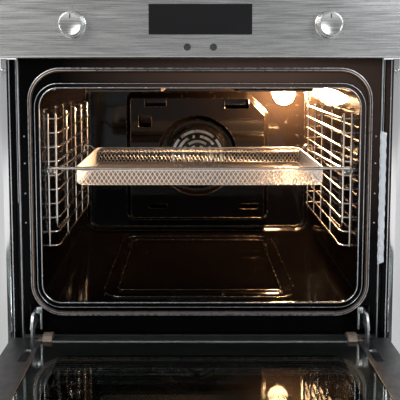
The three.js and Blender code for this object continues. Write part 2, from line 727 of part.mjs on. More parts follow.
function floorField() {
  const outline = roundedRectangle(-FIELD_HALF, FIELD_HALF, FIELD_FRONT, FIELD_BACK, 10);
  const pad = alongZ(outline, CAVITY_FLOOR - 0.6, CAVITY_FLOOR, {
    bevelEnabled: true, bevelSize: FIELD_SLOPE, bevelThickness: FIELD_HEIGHT, bevelSegments: 1,
    curveSegments: 3,
  });
  return common(pad, block(-CAVITY_HALF, CAVITY_HALF, 0, CAVITY_DEPTH,
    CAVITY_FLOOR - CAVITY_SHEET / 2, CAVITY_FLOOR + 2 * FIELD_HEIGHT));
}

function cavityShell() {
  const outline = shellOutline(CAVITY_SHEET);
  outline.holes.push(shellOutline(0));
  const stud = cylinderX(STUD_RADIUS / 2 + FIT, -CAVITY_HALF - 5, CAVITY_HALF + 5, RACK_FRONT, STUD_Z, 12);
  return cut(join(alongY(outline, SHELL_FRONT, SHELL_END), floorField()), stud);
}

function cavityBack() {
  const wall = alongY(shellOutline(-FIT), CAVITY_DEPTH - REAR_FILLET, CAVITY_DEPTH + CAVITY_SHEET);
  const hollow = alongY(shellOutline(-REAR_FILLET), CAVITY_DEPTH - 2 * REAR_FILLET - 6,
    CAVITY_DEPTH - REAR_FILLET, {
      bevelEnabled: true, bevelSize: REAR_FILLET - FIT - 0.8, bevelThickness: REAR_FILLET,
      bevelSegments: 2,
    });
  const back = CAVITY_DEPTH + 2 * CAVITY_SHEET;
  const sides = 12;
  const hole = (radius, x, z) =>
    cylinderY(radius / Math.cos(Math.PI / sides), CAVITY_DEPTH - 1, back, x, z, sides);
  const leads = [RING_LEAD_X, -RING_LEAD_X].map((x) => hole(TUBE_RADIUS + FIT, x, ringLeadZ()));
  const grill = [GRILL_LEAD_X, -GRILL_LEAD_X].map((x) => hole(TUBE_RADIUS + FIT, x, grillZ()));
  return cut(wall, hollow, hole(SHAFT_HOLE, FAN_X, FAN_Z), hole(LAMP_RADIUS + FIT, LAMP_X, LAMP_Z),
    ...leads, ...grill);
}

function insulation() {
  const outer = roundedRectangle(-WOOL_HALF, WOOL_HALF, WOOL_BOTTOM, WOOL_TOP, WOOL_CORNER);
  const blanket = alongY(outer, WOOL_FRONT, WOOL_BACK);
  const grow = CAVITY_SHEET + FIT;
  const inside = alongY(roundedRectangle(-CAVITY_HALF - grow, CAVITY_HALF + grow,
    CAVITY_FLOOR - WOOL_FLOOR_SPACE, CAVITY_CEILING + grow, CAVITY_RADIUS + grow),
    0, SHELL_END + FIT);
  const window = block(-WOOL_WINDOW, WOOL_WINDOW, SHELL_END - 5, WOOL_BACK + 5,
    FAN_Z - RING_RADIUS - 20, CAVITY_CEILING + grow);
  const floorLeads = block(-WOOL_WINDOW, WOOL_WINDOW, SHELL_END - 5, WOOL_BACK + 5,
    CAVITY_FLOOR - WOOL_FLOOR_SPACE, CAVITY_FLOOR + 10);
  const lamp = cylinderY(LAMP_FLANGE + 4, SHELL_END - 5, WOOL_BACK + 5, LAMP_X, LAMP_Z, 16);
  const receiver = block(HINGE_X - RECEIVER_WIDTH / 2 - 2, WOOL_HALF + 5, 0, RECEIVER_DEPTH + 6,
    0, RECEIVER_TOP + 2);
  return cut(blanket, inside, window, floorLeads, lamp, receiver, mirrored(receiver));
}

// ---- Side racks -------------------------------------------------------------------------

function rackLevel(z) {
  const wall = CAVITY_HALF - FIT - 0.4;
  return wire([
    [wall, RACK_FRONT, z], [RACK_X, RACK_FRONT, z], [RACK_X, RACK_BACK, z], [wall, RACK_BACK, z],
  ], RACK_WIRE, RACK_BEND, 4);
}

function sideRack() {
  const bottom = RACK_TOP - (RACK_LEVELS - 1) * RACK_PITCH;
  const levels = Array.from({ length: RACK_LEVELS }, (_, i) => rackLevel(RACK_TOP - i * RACK_PITCH));
  const postX = RACK_X + RACK_WIRE + RACK_POST - RACK_WELD;
  const top = RACK_TOP + RACK_POST_OVER;
  const [front, second, ...others] = RACK_POST_DEPTHS;
  const foot = bottom + 1.2 * RACK_PITCH;
  // the front post turns back at its foot and meets the second one
  const frontPost = wire([[postX, front, top], [postX, front, foot], [postX, second, foot]],
    RACK_POST, RACK_FOOT_BEND, 4);
  const posts = [second, ...others].map((y) =>
    wire([[postX, y, top], [postX, y, bottom - RACK_WIRE]], RACK_POST, 0, 4));
  const wallPost = wire([[RACK_WALL_POST_X, front, top], [RACK_WALL_POST_X, front, bottom - RACK_WIRE]],
    RACK_POST, 0, 4);
  // hooks over the studs: a short eye plate on the wall post
  const eye = cylinderX(EYE_RADIUS, RACK_WALL_POST_X - EYE_FRONT, RACK_WALL_POST_X + EYE_BACK,
    front, STUD_Z, 16);
  const bore = cylinderX(STUD_RADIUS / 2 + FIT, 0, CAVITY_HALF, front, STUD_Z, 12);
  return cut(join(...levels, frontPost, ...posts, wallPost, eye), bore);
}

// Stud that holds a rack to the cavity's side wall.
function rackStud() {
  const shank = cylinderX(STUD_RADIUS / 2, RACK_WALL_POST_X - RACK_POST - 1, CAVITY_HALF + CAVITY_SHEET,
    RACK_FRONT, STUD_Z, 12);
  const head = cylinderX(STUD_RADIUS, RACK_WALL_POST_X - STUD_HEAD, RACK_WALL_POST_X - RACK_POST - FIT,
    RACK_FRONT, STUD_Z, 12);
  return join(shank, head);
}

// ---- Basket -----------------------------------------------------------------------------

function basketFrame() {
  const front = wire([[-BASKET_ROD_HALF, BASKET_FRONT, BASKET_ROD_Z],
    [BASKET_ROD_HALF, BASKET_FRONT, BASKET_ROD_Z]], BASKET_ROD_RADIUS, 0, 8);
  const sleeve = wire([[BASKET_SLEEVE_INNER, BASKET_FRONT, BASKET_ROD_Z],
    [BASKET_ROD_HALF - 3, BASKET_FRONT, BASKET_ROD_Z]], BASKET_SLEEVE_RADIUS, 0, 10);
  const x = BASKET_SIDE_X;
  const hookTop = BASKET_SIDE_Z + 1.6 * BASKET_HOOK;
  const side = wire([
    [x, BASKET_FRONT, BASKET_ROD_Z],
    [x, BASKET_BACK, BASKET_SIDE_Z],
    [x, BASKET_BACK, hookTop],
    [x - 1.5 * BASKET_HOOK, BASKET_BACK, hookTop],
    [BASKET_HALF, BASKET_BACK, BASKET_SIDE_Z],
    [0, BASKET_BACK, BASKET_SIDE_Z],
  ], BASKET_SIDE_RADIUS, 4);
  const foot = basketFoot();
  return join(front, sleeve, mirrored(sleeve), side, mirrored(side), foot, mirrored(foot));
}

// The loop under a side rod that stands on the rack's wire.
function basketFoot() {
  const slope = (BASKET_SIDE_Z - BASKET_ROD_Z) / (BASKET_BACK - BASKET_FRONT);
  const rodZ = (y) => BASKET_ROD_Z + slope * (y - BASKET_FRONT);
  const low = BASKET_SEAT_Z + BASKET_FOOT_RADIUS;
  return wire([
    [BASKET_SIDE_X, BASKET_FOOT_FRONT, rodZ(BASKET_FOOT_FRONT)],
    [BASKET_SIDE_X, BASKET_FOOT_FRONT, low],
    [BASKET_SIDE_X, BASKET_FOOT_BACK, low],
    [BASKET_SIDE_X, BASKET_FOOT_BACK, rodZ(BASKET_FOOT_BACK)],
  ], BASKET_FOOT_RADIUS, 3);
}

// Wire-mesh pan: the walls' true outer form with an open top, hung inside its frame.
function basketMesh() {
  const y0 = BASKET_FRONT + BASKET_SLEEVE_RADIUS + FIT;
  const y1 = BASKET_BACK - BASKET_SIDE_RADIUS - FIT;
  const top = BASKET_ROD_Z;
  const bottom = top - BASKET_HEIGHT;
  const pan = (inset, z0, z1) => {
    const round = BASKET_FOOT_ROUND;
    const outline = roundedRectangle(-BASKET_HALF + inset + round, BASKET_HALF - inset - round,
      y0 + inset + round, y1 - inset - round, BASKET_RADIUS - round);
    const body = alongZ(outline, z0 + round, z1 + 2 * round, {
      bevelEnabled: true, bevelSize: round, bevelThickness: round, bevelSegments: 2, curveSegments: 2 });
    return common(body, block(-FRONT_HALF, FRONT_HALF, -FRONT_WIDTH, FRONT_WIDTH, z0, z1));
  };
  const rim = roundedRectangle(-BASKET_HALF, BASKET_HALF, y0, y1, BASKET_RADIUS);
  const wide = BASKET_RIM_WIDTH;
  const within = roundedRectangle(-BASKET_HALF + wide, BASKET_HALF - wide, y0 + wide, y1 - wide,
    BASKET_RADIUS - wide);
  const rimRing = cut(alongZ(rim, top - BASKET_RIM, top, { curveSegments: 2 }),
    alongZ(within, top - 2 * BASKET_RIM, top + 1, { curveSegments: 2 }));
  return join(cut(pan(0, bottom, top), pan(BASKET_WALL, bottom + BASKET_WALL, top + 5)), rimRing);
}

// ---- Fan cover, fan, motor --------------------------------------------------------------

function coverOutline(inset) {
  const x = COVER_HALF - inset;
  const z0 = COVER_BOTTOM + inset;
  const z1 = COVER_TOP - inset;
  const chamfer = COVER_CHAMFER - inset * (Math.SQRT2 - 1) * Math.SQRT2 / 2;
  const shape = new THREE.Shape();
  const r = COVER_CORNER;
  shape.absarc(-x + r, z0 + r, r, Math.PI, 1.5 * Math.PI);
  shape.absarc(x - r, z0 + r, r, 1.5 * Math.PI, 2 * Math.PI);
  shape.lineTo(x, z1 - chamfer);
  shape.lineTo(x - chamfer, z1);
  shape.absarc(-x + r, z1 - r, r, Math.PI / 2, Math.PI);
  return shape;
}

// The pressed pan's outer form, its face at the given depth.
function coverForm(face, inset) {
  const rear = CAVITY_DEPTH - FIT;
  const body = alongY(coverOutline(inset), face + (rear - face), rear + 20, {
    bevelEnabled: true, bevelSize: COVER_SHOULDER, bevelThickness: rear - face, bevelSegments: 2,
    curveSegments: 2,
  });
  return common(body, block(-FRONT_HALF, FRONT_HALF, face, rear, 0, FRONT_HEIGHT));
}

function arcSlot(radius, start, sweep, face) {
  const shape = new THREE.Shape();
  shape.absarc(FAN_X, FAN_Z, radius + SLOT_WIDTH / 2, start, start + sweep, false);
  shape.absarc(FAN_X, FAN_Z, radius - SLOT_WIDTH / 2, start + sweep, start, true);
  return alongY(shape, face - 10, face + 10, { curveSegments: 3 });
}

function grilleSlots(face) {
  return SLOT_RADII.flatMap((radius, ring) => Array.from({ length: SLOTS_PER_RING }, (_, i) => {
    const turn = (2 * Math.PI) / SLOTS_PER_RING;
    const sweep = turn - SLOT_BRIDGE / radius;
    return arcSlot(radius, (i + ring / 2) * turn + SLOT_BRIDGE / radius / 2, sweep, face);
  }));
}

// The round dish with its raised grille, as a revolved sheet.
function coverDish(face) {
  const floor = face + DISH_DEPTH;
  const front = [
    [DISH_RADIUS + 2, face], [DISH_RADIUS, face], [DISH_FLOOR_RADIUS, floor],
    [GRILLE_RADIUS + 3, floor], [GRILLE_RADIUS, floor - GRILLE_RISE], [0, floor - GRILLE_RISE],
  ];
  const rear = front.map(([radius, y]) => [radius, y + COVER_SHEET]);
  return cut(revolved([...front.reverse(), ...rear], FAN_X, FAN_Z, 30), ...grilleSlots(floor));
}

function coverVents(face) {
  return COVER_VENTS.map(([x0, x1, z0, z1]) =>
    alongY(roundedRectangle(x0, x1, z0, z1, VENT_CORNER), face - 5, face + 8, { curveSegments: 2 }));
}

function fanCover() {
  const face = CAVITY_DEPTH - COVER_DEPTH;
  const dish = cylinderY(DISH_RADIUS + 1, face - 1, face + 12, FAN_X, FAN_Z, 30);
  const pan = cut(coverForm(face, 0), coverForm(face + COVER_SHEET, COVER_SHEET), dish,
    ...coverVents(face));
  return join(pan, coverDish(face));
}

function fanBlade(angle) {
  const blade = block(FAN_BLADE_INNER, FAN_RADIUS, -FAN_BLADE_DEPTH, 0,
    -FAN_BLADE_THICK / 2, FAN_BLADE_THICK / 2);
  return blade.rotateY(degrees(angle));
}

function fanImpeller() {
  const back = CAVITY_DEPTH - FAN_BACK_GAP;
  const blades = Array.from({ length: FAN_BLADES }, (_, i) =>
    standing(fanBlade((i * 360) / FAN_BLADES).translate(0, back - FAN_PLATE / 2, 0), FAN_X, FAN_Z));
  const disc = cylinderY(FAN_RADIUS, back - FAN_PLATE, back, FAN_X, FAN_Z, 24);
  const windows = Array.from({ length: 4 }, (_, i) => {
    const angle = degrees(i * 90 + 22.5);
    return cylinderY(FAN_WINDOW_RADIUS, back - 5, back + 5, FAN_X + FAN_WINDOW_RING * Math.cos(angle),
      FAN_Z + FAN_WINDOW_RING * Math.sin(angle), 8);
  });
  const hub = cylinderY(FAN_HUB_RADIUS, back - FAN_HUB_LENGTH, back, FAN_X, FAN_Z, 16);
  const shaft = cylinderY(SHAFT_RADIUS, back - FAN_HUB_LENGTH - 3, back + SHAFT_LENGTH, FAN_X, FAN_Z, 16);
  return join(cut(disc, ...windows), ...blades, hub, shaft);
}

function fanMotor() {
  const seat = CAVITY_DEPTH + CAVITY_SHEET + FIT;
  const front = seat + MOTOR_FRONT;
  const outline = roundedRectangle(-MOTOR_PLATE_HALF, MOTOR_PLATE_HALF,
    FAN_Z - MOTOR_PLATE_TALL, FAN_Z + MOTOR_PLATE_TALL, MOTOR_LEG);
  const plate = alongY(outline, seat, seat + MOTOR_PLATE_SHEET, { curveSegments: 3 });
  const stator = cylinderY(MOTOR_RADIUS, front, front + MOTOR_LENGTH, FAN_X, FAN_Z, 20);
  const legs = [90, 210, 330].map((angle) => {
    const x = FAN_X + (MOTOR_RADIUS - MOTOR_LEG / 2 - 1) * Math.cos(degrees(angle));
    const z = FAN_Z + (MOTOR_RADIUS - MOTOR_LEG / 2 - 1) * Math.sin(degrees(angle));
    return cylinderY(MOTOR_LEG / 2, seat + MOTOR_PLATE_SHEET / 2, front + 1, x, z, 8);
  });
  const centre = cylinderY(SHAFT_HOLE, seat - 1, seat + MOTOR_PLATE_SHEET + 1, FAN_X, FAN_Z, 20);
  const bore = cylinderY(SHAFT_RADIUS + FIT, seat, CAVITY_DEPTH + SHAFT_LENGTH, FAN_X, FAN_Z, 16);
  return cut(join(plate, stator, ...legs), centre, bore);
}

// ---- Heating elements -------------------------------------------------------------------

function ringLeadZ() {
  return FAN_Z - Math.sqrt(RING_RADIUS ** 2 - RING_LEAD_X ** 2);
}

function grillZ() {
  return CAVITY_CEILING - GRILL_DROP;
}

function ringElement() {
  const y = CAVITY_DEPTH - 14;
  const gap = Math.asin(RING_LEAD_X / RING_RADIUS);
  const steps = 20;
  const ring = Array.from({ length: steps + 1 }, (_, i) => {
    const angle = -Math.PI / 2 + gap + (i / steps) * (2 * Math.PI - 2 * gap);
    return new THREE.Vector3(FAN_X + RING_RADIUS * Math.cos(angle), y,
      FAN_Z + RING_RADIUS * Math.sin(angle));
  });
  const end = CAVITY_DEPTH + LEAD_LENGTH;
  const lead = (x) => cylinderY(TUBE_RADIUS, y - 2, end, x, ringLeadZ(), 8);
  return join(wireThrough(ring, TUBE_RADIUS), lead(RING_LEAD_X), lead(-RING_LEAD_X));
}

function grillElement() {
  const z = grillZ();
  const pitch = (2 * GRILL_HALF) / (GRILL_LEGS - 1);
  const end = CAVITY_DEPTH + LEAD_LENGTH;
  const corners = [
    [-GRILL_LEAD_X, end, z], [-GRILL_LEAD_X, GRILL_TAIL, z], [-GRILL_HALF, GRILL_TAIL, z],
  ];
  for (let i = 0; i < GRILL_LEGS; i++) {
    const x = -GRILL_HALF + i * pitch;
    const near = [x, GRILL_FRONT, z];
    const far = [x, GRILL_BACK, z];
    if (i === 0) corners.push(near);
    else corners.push(...(i % 2 ? [near, far] : [far, near]));
  }
  corners.splice(-1, 1, [GRILL_HALF, GRILL_TAIL, z]);
  corners.push([GRILL_LEAD_X, GRILL_TAIL, z], [GRILL_LEAD_X, end, z]);
  const hookY = (GRILL_FRONT + GRILL_BACK) / 2;
  const hooks = [-1, 1].map((side) => block(side * GRILL_HALF - GRILL_HOOK / 2,
    side * GRILL_HALF + GRILL_HOOK / 2, hookY, hookY + GRILL_HOOK, z, CAVITY_CEILING - FIT));
  return join(wire(corners, TUBE_RADIUS, GRILL_BEND), ...hooks);
}

function floorElement() {
  const z = CAVITY_FLOOR - CAVITY_SHEET - FIT - TUBE_RADIUS;
  const back = CAVITY_DEPTH - 40;
  const end = CAVITY_DEPTH + LEAD_LENGTH;
  const x = FLOOR_ELEMENT_LEAD_X;
  return wire([
    [-x, end, z], [-x, back, z], [-FLOOR_ELEMENT_HALF, back, z],
    [-FLOOR_ELEMENT_HALF, FLOOR_ELEMENT_FRONT, z], [FLOOR_ELEMENT_HALF, FLOOR_ELEMENT_FRONT, z],
    [FLOOR_ELEMENT_HALF, back, z], [x, back, z], [x, end, z],
  ], TUBE_RADIUS, 15);
}

// ---- Lamp -------------------------------------------------------------------------------

function lampSocket() {
  const seat = CAVITY_DEPTH - FIT;
  const rear = CAVITY_DEPTH + LAMP_SOCKET_DEPTH;
  return revolved([
    [0, rear - 4], [BULB_RADIUS / 2 + FIT, rear - 4], [BULB_RADIUS / 2 + FIT, rear - 12],
    [LAMP_RADIUS - 3, rear - 12], [LAMP_RADIUS - 3, seat - 3],
    [LAMP_FLANGE, seat - 3], [LAMP_FLANGE, seat], [LAMP_RADIUS, seat], [LAMP_RADIUS, rear],
    [0, rear],
  ], LAMP_X, LAMP_Z, 16);
}

function lampGlass() {
  const rim = CAVITY_DEPTH - 2 * FIT - 3;
  const steps = 3;
  const dome = (radius, depth) => Array.from({ length: steps + 1 }, (_, i) => {
    const angle = (i / steps) * (Math.PI / 2);
    return [radius * Math.cos(angle), rim - depth * Math.sin(angle)];
  });
  const outer = dome(LAMP_FLANGE, LAMP_DOME);
  const inner = dome(LAMP_FLANGE - LAMP_GLASS, LAMP_DOME - LAMP_GLASS);
  return revolved([...inner.reverse(), ...outer], LAMP_X, LAMP_Z, 16);
}

function lampBulb() {
  const rear = CAVITY_DEPTH + LAMP_SOCKET_DEPTH - 4 - FIT;
  const tip = CAVITY_DEPTH - 12;
  return revolved([
    [0, rear], [BULB_RADIUS / 2, rear], [BULB_RADIUS / 2, rear - 10], [BULB_RADIUS, rear - 15],
    [BULB_RADIUS, tip + 6], [BULB_RADIUS * 0.7, tip + 1.5], [0, tip],
  ], LAMP_X, LAMP_Z, 14);
}

// ---- Blower -----------------------------------------------------------------------------

function blowerDuct() {
  const reach = ROTOR_RADIUS + BLOWER_CLEARANCE + SHEET;
  const half = ROTOR_LENGTH / 2 + 6;
  const foot = SHELF_Z + SHEET + 2 * FIT + SHEET / 2;
  const scroll = [];
  for (let angle = -20; angle <= 190; angle += 42) {
    scroll.push([BLOWER_Y + reach * Math.cos(degrees(angle)), BLOWER_Z + reach * Math.sin(degrees(angle))]);
  }
  const front = CHANNEL_DEPTH + 40;
  const sheet = alongX(bentSheet([
    [BLOWER_Y + reach + 14, foot], [BLOWER_Y + reach, foot + 4], ...scroll,
    [BLOWER_Y - reach - 10, BLOWER_Z - 6], [front, BLOWER_Z - 14],
  ], SHEET), -half, half);
  const cheek = (x0, x1) => alongX(polygon([
    [BLOWER_Y + reach, foot - SHEET / 2], [BLOWER_Y + reach, BLOWER_Z],
    [BLOWER_Y + reach / 2, BLOWER_Z + reach - 2], [BLOWER_Y - reach / 2, BLOWER_Z + reach - 2],
    [BLOWER_Y - reach, BLOWER_Z + 2], [BLOWER_Y - reach - 10, BLOWER_Z - 6],
    [front, BLOWER_Z - 14], [front, foot - SHEET / 2],
  ]), x0, x1);
  const bearing = cylinderX(SHAFT_RADIUS + FIT, -half - 12, half + 2, BLOWER_Y, BLOWER_Z, 12);
  return cut(join(sheet, cheek(-half, -half + 1.5), cheek(half - 1.5, half), blowerMotor(-half)), bearing);
}

function blowerRotor() {
  const half = ROTOR_LENGTH / 2;
  const points = [];
  for (let i = 0; i < ROTOR_BLADES; i++) {
    const turn = (2 * Math.PI) / ROTOR_BLADES;
    const root = 0.7 * ROTOR_RADIUS;
    const steps = [[root, 0], [ROTOR_RADIUS, 0.25], [ROTOR_RADIUS, 0.5], [root, 0.35]];
    for (const [radius, share] of steps) {
      const angle = (i + share) * turn;
      points.push([BLOWER_Y + radius * Math.cos(angle), BLOWER_Z + radius * Math.sin(angle)]);
    }
  }
  const rings = [-half, half - 4].map((x) => cylinderX(ROTOR_RADIUS, x, x + 4, BLOWER_Y, BLOWER_Z, 12));
  const shaft = cylinderX(SHAFT_RADIUS, -half - 14, half + 5, BLOWER_Y, BLOWER_Z, 12);
  return join(alongX(polygon(points), -half + 1, half - 1), ...rings, shaft);
}

// The motor is screwed to the duct's cheek and stands on the shelf.
function blowerMotor(face) {
  const body = cylinderX(BLOWER_MOTOR_RADIUS, face - BLOWER_MOTOR_LENGTH, face + 1, BLOWER_Y, BLOWER_Z, 20);
  const foot = block(face - BLOWER_MOTOR_LENGTH + 4, face - 6, BLOWER_Y - 16, BLOWER_Y + 16,
    SHELF_Z + SHEET + 2 * FIT, BLOWER_Z);
  return join(body, foot);
}

// ---- Controls ---------------------------------------------------------------------------

function controlFascia() {
  const y0 = -PANEL_DEPTH;
  const section = (inset) => roundedRectangle(y0 + inset, 30, PANEL_BOTTOM + inset,
    FRONT_HEIGHT - inset, 3 - inset);
  const body = common(alongX(section(0), -FRONT_HALF, FRONT_HALF),
    block(-FRONT_HALF, FRONT_HALF, y0, -FIT, 0, FRONT_HEIGHT));
  const hollow = alongX(section(PANEL_WALL), -FRONT_HALF + PANEL_WALL, FRONT_HALF - PANEL_WALL);
  const window = block(-DISPLAY_WIDTH / 2, DISPLAY_WIDTH / 2, y0 - 1, y0 + 2 * PANEL_WALL,
    DISPLAY_BOTTOM, DISPLAY_TOP);
  const shafts = [-KNOB_X, KNOB_X].map((x) =>
    cylinderY(KNOB_SHAFT_RADIUS + 1, y0 - 1, y0 + 2 * PANEL_WALL, x, KNOB_Z, 12));
  const buttons = buttonPlaces().map((x) =>
    cylinderY(BUTTON_RADIUS + FIT, y0 - 1, y0 + 2 * PANEL_WALL, x, BUTTON_Z, 20));
  // folded ears at the ends lie against the housing's forward edges
  const ear = block(SIDE_LIP_X - 12, FRONT_HALF - PANEL_WALL / 2, -FIT - SHEET, -FIT,
    PANEL_BOTTOM + PANEL_WALL / 2, FRONT_HEIGHT - PANEL_WALL / 2);
  return join(cut(body, hollow, window, ...shafts, ...buttons), ear, mirrored(ear));
}

function buttonPlaces() {
  return [-BUTTON_SPACING / 2, BUTTON_SPACING / 2];
}

function displayWindow() {
  const y0 = -PANEL_DEPTH;
  const pane = block(-DISPLAY_WIDTH / 2 + FIT, DISPLAY_WIDTH / 2 - FIT, y0 - 0.6, y0 + PANEL_WALL,
    DISPLAY_BOTTOM + FIT, DISPLAY_TOP - FIT);
  const back = block(-DISPLAY_WIDTH / 2 - 4, DISPLAY_WIDTH / 2 + 4, y0 + PANEL_WALL + FIT,
    y0 + PANEL_WALL + 2, DISPLAY_BOTTOM - 4, DISPLAY_TOP + 4);
  const neck = block(-DISPLAY_WIDTH / 2 + 2, DISPLAY_WIDTH / 2 - 2, y0 + 1, y0 + PANEL_WALL + 1,
    DISPLAY_BOTTOM + 2, DISPLAY_TOP - 2);
  return join(pane, neck, back);
}

// Printed board with the display's standoffs; it lies behind the window and the buttons.
function controlBoard() {
  const board = block(-BOARD_HALF, BOARD_HALF, BOARD_FRONT, BOARD_FRONT + BOARD_THICK,
    BUTTON_Z - 12, DISPLAY_TOP + 8);
  const face = -PANEL_DEPTH + PANEL_WALL + 2 + FIT;
  const posts = [-0.4 * DISPLAY_WIDTH, 0.4 * DISPLAY_WIDTH].flatMap((x) =>
    [DISPLAY_BOTTOM + 5, DISPLAY_TOP - 5].map((z) => cylinderY(3, face, BOARD_FRONT + 0.5, x, z, 10)));
  return join(board, ...posts);
}

function knob() {
  const back = -PANEL_DEPTH - 1;
  const front = back - KNOB_LENGTH;
  const body = revolved([
    [0, back], [KNOB_RADIUS, back], [KNOB_RADIUS, back - 3], [KNOB_RADIUS - 1.5, back - 4],
    [KNOB_RADIUS - 2.2, front + 1.5], [KNOB_RADIUS - 3.6, front], [0, front],
  ], 0, 0, 24);
  const bore = cylinderY(KNOB_SHAFT_RADIUS + FIT, back - KNOB_LENGTH + 6, back + 1, 0, 0, 16);
  const mark = block(-0.8, 0.8, front - 1, front + 0.8, KNOB_RADIUS - 11, KNOB_RADIUS - 3);
  const grips = Array.from({ length: 8 }, (_, i) => {
    const angle = (i / 8) * 2 * Math.PI;
    return cylinderY(1.2, front - 1, back - 4.5, (KNOB_RADIUS - 1.2) * Math.cos(angle),
      (KNOB_RADIUS - 1.2) * Math.sin(angle), 5);
  });
  return cut(body, bore, mark, ...grips);
}

function selector() {
  const face = -PANEL_DEPTH + PANEL_WALL + FIT;
  const body = cylinderY(SELECTOR_RADIUS, face, face + SELECTOR_LENGTH, 0, 0, 20);
  const shaft = cylinderY(KNOB_SHAFT_RADIUS, -PANEL_DEPTH - 1 - KNOB_LENGTH + 6 + FIT, face + 1, 0, 0, 16);
  return join(body, shaft);
}

function button() {
  const face = -PANEL_DEPTH;
  const inside = face + PANEL_WALL + FIT;
  const proud = face - BUTTON_STAND;
  const end = BOARD_FRONT - FIT - BUTTON_TRAVEL;
  return revolved([
    [0, proud], [BUTTON_RADIUS - 1, proud], [BUTTON_RADIUS, proud + 0.8], [BUTTON_RADIUS, inside],
    [BUTTON_RADIUS + 1.4, inside], [BUTTON_RADIUS + 1.4, inside + 1], [2, inside + 1], [2, end], [0, end],
  ], 0, 0, 16);
}

// ---- Hinges -----------------------------------------------------------------------------

function hingeReceiver() {
  const x0 = HINGE_X - RECEIVER_WIDTH / 2;
  const x1 = HINGE_X + RECEIVER_WIDTH / 2;
  const y0 = PLATE_SHEET + FIT;
  const tube = cut(block(x0, x1, y0, y0 + RECEIVER_DEPTH, RECEIVER_BOTTOM, RECEIVER_TOP),
    block(x0 + RECEIVER_SHEET, x1 - RECEIVER_SHEET, y0 - 1, y0 + RECEIVER_DEPTH - RECEIVER_SHEET,
      RECEIVER_BOTTOM + RECEIVER_SHEET, RECEIVER_TOP - RECEIVER_SHEET));
  // saddle that the arm rests on, and the bracket to the housing side
  const saddle = block(x0 + 1, x1 - 1, y0 + 20, y0 + RECEIVER_DEPTH - 1,
    RECEIVER_BOTTOM + 1, ARM_BOTTOM - FIT);
  const bracket = block(x1 - 1, HOUSING_HALF - SHEET - FIT, y0 + 24, y0 + 26,
    RECEIVER_BOTTOM, RECEIVER_TOP - 4);
  const foot = block(HOUSING_HALF - SHEET - FIT - 1.5, HOUSING_HALF - SHEET - FIT, y0 + 24, y0 + 50,
    RECEIVER_BOTTOM, RECEIVER_TOP - 4);
  return join(tube, saddle, bracket, foot);
}

// The fixed arm: it hooks into the receiver, curves down outside the plate and holds the pin.
function hingeArm() {
  const half = ARM_WIDTH / 2;
  const shape = new THREE.Shape();
  shape.moveTo(PIVOT_Y - half, PIVOT_Z);
  shape.lineTo(PIVOT_Y - half, ARM_BOTTOM - 6);
  shape.quadraticCurveTo(PIVOT_Y - half, ARM_TOP, PIVOT_Y + ARM_WIDTH, ARM_TOP);
  shape.lineTo(ARM_REACH, ARM_TOP);
  shape.lineTo(ARM_REACH, ARM_BOTTOM);
  shape.lineTo(PIVOT_Y + ARM_WIDTH + 4, ARM_BOTTOM);
  shape.quadraticCurveTo(PIVOT_Y + half, ARM_BOTTOM, PIVOT_Y + half, ARM_BOTTOM - 12);
  shape.lineTo(PIVOT_Y + half, PIVOT_Z);
  shape.absarc(PIVOT_Y, PIVOT_Z, half, 0, -Math.PI, true);
  const arm = alongX(shape, HINGE_X - ARM_THICK / 2, HINGE_X + ARM_THICK / 2, { curveSegments: 5 });
  const pin = cylinderX(PIN_RADIUS, HINGE_X - PIN_LENGTH / 2, HINGE_X + PIN_LENGTH / 2,
    PIVOT_Y, PIVOT_Z, 10);
  const lockPin = cylinderX(LOCK_PIN_RADIUS, HINGE_X, HINGE_X + ARM_THICK / 2 + FIT + LOCK_THICK,
    LOCK_PIVOT_Y, LOCK_PIVOT_Z, 8);
  return join(arm, pin, lockPin);
}

// Lever that the fitter flips forward to unhook the door, drawn about its own pin.
function hingeLock() {
  const half = LOCK_WIDTH / 2;
  const shape = new THREE.Shape();
  shape.absarc(0, 0, half, 0, Math.PI);
  shape.lineTo(-half, -LOCK_LENGTH + 3);
  shape.lineTo(-half - 3, -LOCK_LENGTH);
  shape.lineTo(half - 3, -LOCK_LENGTH);
  shape.lineTo(half, -LOCK_LENGTH + 3);
  const lever = alongX(shape, 0, LOCK_THICK);
  return cut(lever, cylinderX(LOCK_PIN_RADIUS + FIT, -1, LOCK_THICK + 1, 0, 0, 8));
}

// Door half of the hinge: a channel in the door's column that turns on the arm's pin.
function hingeBody() {
  const half = HINGE_BODY_WIDTH / 2;
  const y0 = FRAME_OUTER + COLUMN_WALL + FIT;
  const y1 = DOOR_INNER - COLUMN_WALL - FIT;
  const sheet = HINGE_BODY_SHEET;
  const channel = cut(block(HINGE_X - half, HINGE_X + half, y0, y1, HINGE_SLOT_BOTTOM, HINGE_BODY_TOP),
    block(HINGE_X - half + sheet, HINGE_X + half - sheet, y0 + sheet, y1 + 1, 0, HINGE_BODY_TOP + 1));
  const bridge = block(HINGE_X - half + 0.5, HINGE_X + half - 0.5, y0, y1,
    HINGE_BODY_TOP - 22, HINGE_BODY_TOP - 16);
  const holes = cylinderX(PIN_RADIUS + FIT, HINGE_X - half - 1, HINGE_X + half + 1, PIVOT_Y, PIVOT_Z, 10);
  return cut(join(channel, bridge), holes);
}

// ---- Door -------------------------------------------------------------------------------

